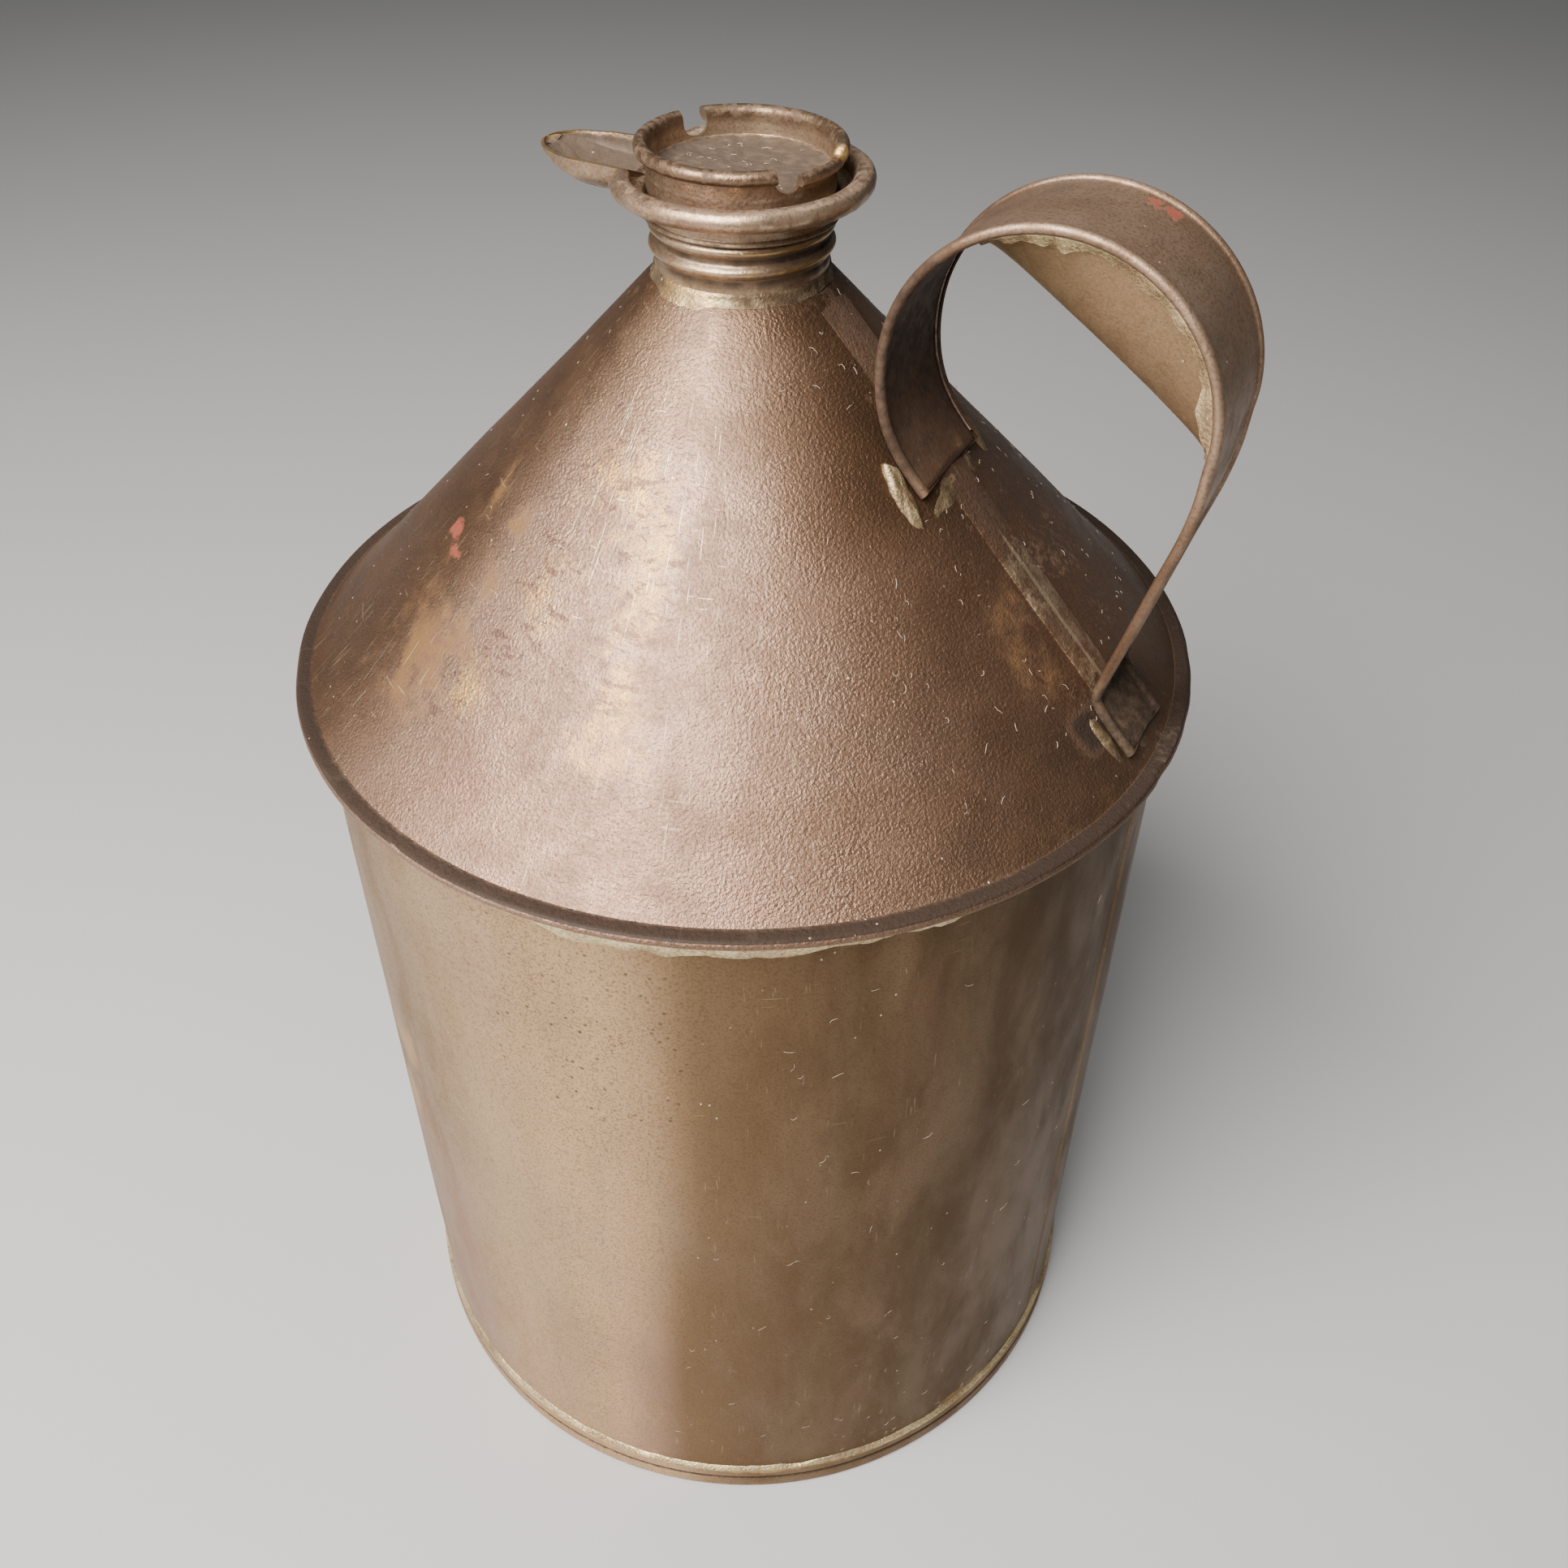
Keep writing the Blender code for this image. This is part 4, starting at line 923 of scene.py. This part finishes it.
def build_cap():
    low = CAP_LOW[2]
    floor = CUP_FLOOR
    rows = [(13.5, low + 0.05, 0), (14.3, low, 0)]
    rows += [(ROOT_R, z, 1) for z in np.arange(low + 0.2, 347.6, 0.22)]
    rows += [(ROOT_R, 349.6, 0), (14.65, 350.35, 0), (15.2, 350.6, 0)]
    wall = [(15.2, 350.6), (19.3, 350.6), (19.45, 351.2), (19.35, 354.2), (19.4, 357.4)]
    upper = rounded(wall, 0.5, 1.2)[1:]
    roll = (20.25, 358.92)
    upper += arc(roll, 1.48, 222, 360, 12)[1:] + arc(roll, 1.48, 0, 176, 14)[1:]
    cup = [(18.72, 358.6), (18.7, 357), (18.55, floor + 0.3), (17.6, floor), (8, floor), (0, floor)]
    upper += rounded(cup, [0, 0.5, 1, 0.8, 0, 0], 1.1)
    under = rounded([(0, floor - 1), (13.2, floor - 1), (13.2, low + 0.3), (13.5, low + 0.05)],
            [0, 0.6, 0.2, 0], 2.5)
    rows += [(r, z, 0) for r, z in upper + under[:-1]]

    prof = np.array(rows)
    az = azimuths(240)
    r, z, a = spin(prof, az)
    thread = (prof[:, 2][:, None] * helix(a, z - 337 + PITCH / 2) * ramp(z, low + 0.6,
            low + 1.6) * ramp(z, 347.4, 346.2))
    r = r + CREST * thread
    deg = np.degrees(a)
    flat = at(r, a, z)
    on_floor = (np.abs(z - floor) < 0.35) & (r < 18.6)
    z = (z + np.where(on_floor, 0.2 * noise(flat, 2.4, 91) + 0.16 * noise(flat, 1, 92)
            + 0.3 * ramp(r, 15, 18.4), 0))
    crushed = ramp(deg, -32, -26) * ramp(deg, 17, 11)
    above = ramp(z, 355.6, 358.6) * ramp(r, 17, 18.6)
    z = z - above * crushed * (1.9 + 0.3 * noise(flat, 4, 93))
    r = r - above * crushed * (0.55 * (r - 18) / 3 + 0.15)
    torn = bump(deg, 14.5, 1.6, 2.4)
    z = z - above * torn * 0.25 * (1 + noise(flat, 1.2, 94))
    r = r + 0.07 * noise(flat, 8, 95) * ramp(r, 17, 19)
    z = np.minimum(z, CAP_HIGH[2] - 0.02)
    r = np.minimum(r, CAP_HIGH[0] - 0.01)
    pts = at(r, a, z).reshape(-1, 3)
    cap = make_piece("cap_cup", pts, grid_faces(len(prof), len(az), True, True), ["screw_cap"], "cap")

    for k, angle in enumerate(NOTCH_ANGLES):
        along = at(1, radians(angle), 0)
        across = np.array([-along[1], along[0], 0])
        lean = -0.25 if k else 0.1
        outline = ([(-2.8, 364), (-2.8, 358)] + arc((0, 357.8), 2.8, 180, 360, 13)
                + [(2.8, 358), (2.8, 364)])
        sections = [[along * reach + across * (w + lean * (h - 357)) + np.array([0, 0, h])
                     for w, h in outline] for reach in (16.5, 25)]
        cutter = loft(f"notch_tool_{k}", sections, [], "cap")
        cut = cap.modifiers.new("notch", "BOOLEAN")
        cut.operation = "DIFFERENCE"
        cut.object = cutter
        bpy.context.view_layer.objects.active = cap
        with bpy.context.temp_override(object=cap, active_object=cap, selected_objects=[cap]):
            bpy.ops.object.modifier_apply(modifier="notch")
        bpy.data.objects.remove(cutter, do_unlink=True)
    cap.data.set_sharp_from_angle(angle=radians(50))
    p, r, a, z = polar(cap)
    n2, n3 = clouds(p, 96, 5, 1.8)
    inside = ramp(r, 18.8, 17.4) * ramp(z, 353.6, 354)
    rim = ramp(z, 357.2, 358.4)
    torn_edge = bump(a, 14.5, 2, 2.5) * ramp(z, 356, 357.5)
    dress(cap, STEEL_PARTS, deep=0.2 + 0.45 * n2 + 0.65 * rim + 0.3 * ramp(r, 18.8, 18),
          dust=0.85 * inside * ramp(z, 357.5, 354.4) + 0.1 * (1 + n2) + 0.3 * rim
          + 0.25 * rim * ramp(n2, 0, 0.6),
          worn=0.12 * rim * (0.7 + 0.9 * n3) + 0.55 * torn_edge + 0.15 * n2,
          grime=0.3 * bump(z, 354.4, 0.3, 0.7) + 0.2 * n3
          + inside * ramp(z, 356, 354.6) * (0.42 + 0.8 * n3))

    inner, outer = GASKET_HIGH[0] - 3.5, GASKET_HIGH[0]
    lo, hi = GASKET_LOW[2], GASKET_HIGH[2]
    outline = rounded([(inner, lo), (outer, lo), (outer, hi), (inner, hi)], 0.22, 1.2, closed=True)

    def wob(r, z, a):
        p = at(r, a, z)
        return r - 0.05 - 0.08 * np.abs(noise(p, 3, 98)), z

    washer = lathe("cap_washer", outline, azimuths(96), ["cap_gasket"], wob, "washer")
    dress(washer, LEATHER)


# ---- handle

LOOP = (72.9, 325.6)
LOOP_R = 33.9
STRAP_HALF = 13.9
FOOT_HALF = 9.2
CURL = 1.14
STRAP = 0.8


def spread(points, count):
    """Evenly spaced samples on a smooth curve through stations of any width."""
    pts = np.array(points, dtype=float)
    dist = np.concatenate([[0], np.cumsum(np.linalg.norm(np.diff(pts[:, :2], axis=0), axis=1))])
    tangent = np.gradient(pts, dist, axis=0)
    where = np.linspace(0, dist[-1], count)
    k = np.clip(np.searchsorted(dist, where, side="right") - 1, 0, len(pts) - 2)
    span = (dist[k + 1] - dist[k])[:, None]
    t = (where - dist[k])[:, None] / span
    return (pts[k] * (2 * t**3 - 3 * t**2 + 1) + pts[k + 1] * (3 * t**2 - 2 * t**3)
            + span * (tangent[k] * (t**3 - 2 * t**2 + t) + tangent[k + 1] * (t**3 - t**2)))


def strap_stations(count):
    """Stations along the strap: x, z, half width and how closely it follows the cone."""
    rows = []
    for radius in (49.5, 48, 46.5):
        rows.append((*above_cone(radius, 1.5), STRAP_HALF, 1))
    rows += [(44.2, 309.5, STRAP_HALF, 0.85), (41.7, 313.3, STRAP_HALF, 0.6)]
    for i, (x, z) in enumerate(arc(LOOP, LOOP_R, 193, -9, 22)):
        rows.append((x, z, STRAP_HALF, max(0, 0.35 - 0.12 * i)))
    rows.append((105.9, 313.4, STRAP_HALF - 0.2, 0))
    for t in (0, 0.33, 0.66, 1):
        rows.append((104.9 + (92.7 - 104.9) * t, 307.6 + (262 - 307.6) * t,
                     STRAP_HALF - 0.6 + (FOOT_HALF - STRAP_HALF + 0.6) * t, 0))
    rows += [(92.3, 260.2, FOOT_HALF, 0.3), (92.5, 258.7, FOOT_HALF, 0.6),
            (93.4, 257.4, FOOT_HALF, 0.8)]
    for radius in (94.6, 97.5, 101):
        rows.append((*above_cone(radius, 1.5), FOOT_HALF, 1))
    return spread(rows, count)


def strap_place(stations, i, side, rise):
    x, z, _, hug = stations[i]
    before, after = stations[max(0, i - 1)], stations[min(len(stations) - 1, i + 1)]
    along = unit(after[:2] - before[:2])
    u, w = x - along[1] * rise, z + along[0] * rise
    drop = max(0, hug) * (float(cone_z(x)) - float(cone_z(hypot(x, side))))
    return np.array([u, side, w - drop])


def build_handle():
    stations = strap_stations(210)
    inner_r = CURL - 0.34
    rings = []
    for i, half in enumerate(stations[:, 2]):
        upper = [(half * s, STRAP / 2) for s in np.linspace(0, 0.88, 9)]
        curl = arc((half, 0), CURL, 158, -128, 20)
        inside = arc((half, 0), inner_r, -128, 178, 8)
        right = upper + curl + inside + [(half - CURL - 0.05, -STRAP / 2)]
        right += [(half * s, -STRAP / 2) for s in np.linspace(0.82, 0, 9)]
        left = [(-s, rise) for s, rise in right[::-1][1:-1]]
        wave = 0.09 * sin(i * 0.11) + 0.06 * sin(i * 0.37 + 1)
        rings.append([strap_place(stations, i, s, rise + wave * (1 - (s / half) ** 2))
                      for s, rise in right + left])
    strap = loft("handle_strap_sheet", rings, ["handle_strap"], sharp=60)
    p = coords(strap)
    x, y, z = p.T
    n1, n2, n3 = clouds(p, 101, 16, 5, 2)
    leg = ramp(z, 312, 290) * ramp(x, 80, 90)
    leg_half = FOOT_HALF + (STRAP_HALF - FOOT_HALF) * np.clip((z - 262) / 46, 0, 1)
    half = np.where(leg > 0, leg_half, STRAP_HALF)
    edge = ramp(np.abs(y), half - 1.3, half - 0.2)
    outside = ramp(np.hypot(x - LOOP[0], z - LOOP[1]), LOOP_R - 0.3, LOOP_R + 0.3)
    mark = bump(x, 84.5, 2.8, 2) * bump(y, 9.6, 1.6, 1.6) * outside * ramp(z, 340, 350)
    dress(strap, STEEL_STRAP, red=0.95 * mark * (0.8 + 0.9 * n3),
          worn=0.16 * edge * (0.8 + 0.8 * n2) + 0.14 * outside * (1 + n1),
          # The loop's inner face, under the arch, is darker: painted shade.
          deep=0.25 + 0.35 * n1 + 0.55 * (1 - outside) * (1 - edge) + 0.3 * leg + 0.6 * ramp(x, 62, 46),
          rust=0.5 * ramp(z, 318, 305) * ramp(x, 60, 52) * (0.6 + n2) + 0.35 * leg * (0.5 + n2),
          grime=0.7 * ramp(z, 270, 258) * ramp(x, 80, 90) + 0.2 * n3 + 0.6 * ramp(x, 58, 46),
          dust=0.3 * (1 - outside) * ramp(z, 330, 306) * (0.7 + n2) + 0.1 * (1 + n2))
    for node in ("handle_wire_near", "handle_wire_far"):
        cad_look(node, WIRE)


GRIP_ALONG = np.array([0.8366, -0.5488])
GRIP_OUT = np.array([0.5488, 0.8366])
GRIP_OFFSET = 11.4
GRIP_HALF = 12.2


def grip_point(along, height, side):
    spot = np.array(LOOP) + GRIP_ALONG * along + GRIP_OUT * (GRIP_OFFSET + height)
    return spot[0], side, spot[1]


def build_grip():
    inner_r = LOOP_R - STRAP / 2 - 0.15
    reach = sqrt(inner_r**2 - GRIP_OFFSET**2) - 1.3
    rings = []
    for s in np.linspace(-1, 1, 61):
        along = reach * sin(pi / 2 * s)
        depth = sqrt(inner_r**2 - along**2) - GRIP_OFFSET
        outer, inner = [], []
        for share in np.linspace(-1, 1, 33):
            rise = abs(share) ** 2.2
            wob = 0.1 * noise_at((along, share * 9, 0), 12, 111)
            outer.append(grip_point(along, depth * rise + wob * (1 - rise), share * (GRIP_HALF + 0.7)))
            inner.append(grip_point(along, SHEET + (depth - SHEET) * rise, share * (GRIP_HALF + 0.05)))
        rings.append(outer + inner[::-1])
    grip = loft("grip_trough", rings, ["hand_grip"], sharp=70)
    p = coords(grip)
    n1, n2, n3 = clouds(p, 112, 14, 5, 2.2)
    to_rim = inner_r - np.hypot(p[:, 0] - LOOP[0], p[:, 2] - LOOP[1])
    smear = ramp(to_rim, 5 + 3.5 * n1, 0.8)
    dress(grip, STEEL_GRIP, tin=0.72 * smear * (0.75 + 0.7 * n2), deep=0.22 + 0.35 * n1, worn=0.15 * n2,
          rust=0.4 * ramp(to_rim, 3.2, 0.4) * ramp(n2, 0, 0.5),
          grime=0.18 * ramp(to_rim, 1.6, 0.2) + 0.15 * n3)

    middle = degrees(atan2(GRIP_OUT[1], GRIP_OUT[0]))
    for side, word in ((-1, "near"), (1, "far")):
        rings = []
        for k in range(101):
            ang = radians(middle - 63 + 126 * k / 100)
            out = np.array([cos(ang), sin(ang)])
            q = np.array([30 * out[0], 30 * out[1], side * 9])
            size = 0.85 + 0.55 * noise_at(q, 6, 115) + 0.3 * noise_at(q, 2, 116)
            size *= float(ramp(k, -1, 8)) * float(ramp(k, 101, 92)) + 0.05
            size = max(0.12, size)
            section = []
            for radius, v in ((0, 0.5), (0.15, 1), (0, 1.7), (-0.5 * size, 1.7),
                              (-1.3 * size, 1.2), (-2.5 * size, 0.75), (-1, 0.1)):
                rad = LOOP_R - CURL + 0.15 + radius
                section.append((LOOP[0] + out[0] * rad, side * (GRIP_HALF + v - 0.1),
                        LOOP[1] + out[1] * rad))
            rings.append(section if side > 0 else section[::-1])
        bead = loft(f"grip_solder_{word}_run", rings, [f"grip_solder_{word}"], sharp=80)
        p = coords(bead)
        dress(bead, SOLDER, deep=0.35 + 0.6 * fbm(p, 8, 117), grime=0.15 * fbm(p, 4, 118))


def lump(name, node, centre, length, width, height, angle, seed, shine):
    """A cooled lump of solder lying on the cone, pulled out along one direction."""
    rows, cols = 9, 40
    ca, sa = cos(angle), sin(angle)
    pts = []
    for i in range(rows):
        share = sin(pi / 2 * i / (rows - 1))
        for j in range(cols):
            a = tau * j / cols
            q = np.array([cos(a) * 3, sin(a) * 3, seed * 7])
            reach = share * (1 + 0.22 * noise_at(q, 2, seed) + 0.12 * noise_at(q, 0.9, seed + 1))
            u, v = reach * length / 2 * cos(a), reach * width / 2 * sin(a)
            x, y = centre[0] + u * ca - v * sa, centre[1] + u * sa + v * ca
            ridge = height * max(0, 1 - share**2) ** 0.6
            ridge *= 1 + 0.45 * noise_at((x, y, 0), 1.7, seed + 2)
            pts.append(on_cone(x, y, ridge - 0.15 * share))
    for j in range(cols):
        x, y, z = pts[(rows - 1) * cols + j]
        pts.append((x, y, z - 0.4))
    faces = grid_faces(rows + 1, cols, False, True)
    pts.append((centre[0], centre[1], on_cone(*centre, -0.5)[2]))
    last = len(pts) - 1
    for j in range(cols):
        faces.append((last, rows * cols + j, rows * cols + (j + 1) % cols))
    thing = make_piece(name, pts, faces, [node] if node else [], sharp=70)
    p = coords(thing)
    dress(thing, SOLDER, deep=(1 - shine) + 0.5 * fbm(p, 3, seed + 5),
          grime=0.6 * (1 - shine) * (0.6 + fbm(p, 2, seed + 6)))


def build_lumps():
    lump("upper_solder_near", "upper_foot_solder_near", (46.9, -17.3), 11, 5, 2.6, -0.25, 121, 0.28)
    lump("upper_solder_far", "upper_foot_solder_far", (46.5, 17), 12, 4, 2.2, 0.2, 131, 0.35)
    lump("lower_solder_near", "lower_foot_solder_near", (97, -11.6), 10, 3.4, 1.2, 0.05, 141, 0)
    lump("lower_solder_far", "lower_foot_solder_far", (97.5, 11.9), 10, 3.6, 1.2, -0.05, 151, 0)
    lump("upper_solder_smear", None, (52.5, -4), 4, 21, 0.5, 0.06, 161, 0.12)
    lump("lower_solder_smear", None, (103, -1), 3.2, 17, 0.6, 0, 171, 0.15)


# ---- lint

def build_lint():
    """Short fibres that lie on the cone, on the wall and in the cap's cup."""
    rng = np.random.RandomState(7)

    def fibre(path, radius):
        verts = []
        along = np.gradient(np.array(path), axis=0)
        for i, point in enumerate(path):
            t = unit(along[i])
            a = unit(np.cross(t, np.array([0.3, 0.2, 1])))
            b = np.cross(t, a)
            thin = radius * (0.45 + 0.55 * sin(pi * (i + 0.7) / (len(path) + 0.4)))
            for k in range(4):
                ang = tau * k / 4
                verts.append(point + thin * (cos(ang) * a + sin(ang) * b))
        last = 4 * (len(path) - 1)
        ends = [(3, 2, 1, 0), (last, last + 1, last + 2, last + 3)]
        return verts, grid_faces(len(path), 4, False, True) + ends

    def scatter(name, body, count, place, length, radius):
        verts, faces = [], []
        for _ in range(count):
            x, y, spot = place()
            heading, bend = rng.uniform(0, tau), rng.normal(0, 0.35)
            size = length * rng.uniform(0.4, 1.4)
            path = []
            for k in range(6):
                lift = radius + 0.25 * sin(pi * k / 5) * rng.uniform(0.2, 1)
                path.append(spot(x, y, lift))
                heading += bend
                x += cos(heading) * size / 5
                y += sin(heading) * size / 5
            v, f = fibre(path, radius)
            faces += [tuple(i + len(verts) for i in face) for face in f]
            verts += v
        dress(make_piece(name, verts, faces, [], body, 80), LINT)

    def on_top():
        r = sqrt(rng.uniform(0.05, 1)) * 97
        a = radians(rng.normal(2, 26))
        return r * cos(a), r * sin(a), on_cone

    def on_rest():
        r = sqrt(rng.uniform(0.06, 1)) * 100
        a = rng.uniform(-pi, pi)
        return r * cos(a), r * sin(a), on_cone

    def on_wall():
        a = radians(rng.normal(-45, 28))
        return a * BODY_R, 12 + 215 * rng.uniform() ** 1.6, beside_wall

    def in_cup():
        r, a = sqrt(rng.uniform(0, 1)) * 15.5, rng.uniform(0, tau)
        return r * cos(a), r * sin(a), lambda x, y, lift: (x, y, CUP_FLOOR + 0.05 + lift)

    scatter("lint_by_handle", "can", 110, on_top, 1.4, 0.06)
    scatter("lint_on_top", "can", 130, on_rest, 0.9, 0.05)
    scatter("lint_in_cup", "cap", 34, in_cup, 1.5, 0.06)
    scatter("lint_on_wall", "can", 90, on_wall, 2.2, 0.045)


def lint_look():
    n = Nodes("lint")
    tone = n.mix(n.noise(240), (0.5, 0.42, 0.33), (0.3, 0.23, 0.17))
    return n.finish(tone, 0.8, 0)


LINT = lint_look()


# ---- studio

def build_stage():
    mesh = bpy.data.meshes.new("floor")
    size = 2.6
    corners = [(-size, -size, 0), (size, -size, 0), (size, size, 0), (-size, size, 0)]
    mesh.from_pydata(corners, [], [(0, 1, 2, 3)])
    floor = add_object("floor", mesh)
    n = Nodes("studio_floor")
    tone = n.mix(n.noise(3, 2), (0.46, 0.46, 0.452), (0.43, 0.43, 0.425))
    dress(floor, n.finish(tone, 0.6, 0, None, 0.3))

    world = bpy.data.worlds.new("studio")
    bpy.context.scene.world = world
    world.use_nodes = True
    back = world.node_tree.nodes["Background"]
    back.inputs["Color"].default_value = (0.86, 0.92, 1, 1)
    back.inputs["Strength"].default_value = 0.09

    def softbox(name, azimuth, elevation, distance, width, height, watts, colour):
        light = bpy.data.lights.new(name, "AREA")
        light.shape = "RECTANGLE"
        light.size, light.size_y = width, height
        light.energy = watts
        light.color = colour
        thing = add_object(name, light)
        thing.visible_camera = False
        a, e = radians(azimuth), radians(elevation)
        aim = Vector((0, 0, 0.18))
        thing.location = aim + distance * Vector((cos(a) * cos(e), sin(a) * cos(e), sin(e)))
        thing.rotation_euler = (aim - thing.location).to_track_quat("-Z", "Y").to_euler()

    softbox("key", -100, 50, 1.1, 0.8, 0.75, 45, (1, 0.965, 0.93))
    softbox("left_wall", -122, 14, 0.95, 1.5, 0.5, 4.5, (1, 0.97, 0.93))
    softbox("overhead", 70, 74, 1.1, 0.8, 0.8, 2.5, (1, 0.98, 0.96))


def build_camera():
    """The view that the can is seen from, solved from its circles and outline."""
    turn = Matrix.Rotation(radians(29.1), 3, "Z")
    pitch, yaw, roll = 0.7154, 0.0322, 0.0119
    ahead = Vector((sin(yaw) * cos(pitch), cos(yaw) * cos(pitch), -sin(pitch)))
    right = Vector((cos(yaw), -sin(yaw), 0))
    up = right.cross(ahead)
    across = turn @ (right * cos(roll) + up * sin(roll))
    upward = turn @ (up * cos(roll) - right * sin(roll))
    data = bpy.data.cameras.new("camera")
    data.lens = 34.75
    data.sensor_width = 36
    data.clip_start = 0.01
    camera = add_object("camera", data)
    frame_axes = Matrix((across, upward, -(turn @ ahead))).transposed().to_4x4()
    frame_axes.translation = turn @ Vector((0, -0.31213, 0.46069))
    camera.matrix_world = frame_axes
    bpy.context.scene.camera = camera


build_camera()
build_stage()
build_body()
build_base()
build_cone()
build_shoulder_solder()
build_neck()
build_ring()
build_lip()
build_cap()
build_handle()
build_grip()
build_lumps()
build_lint()
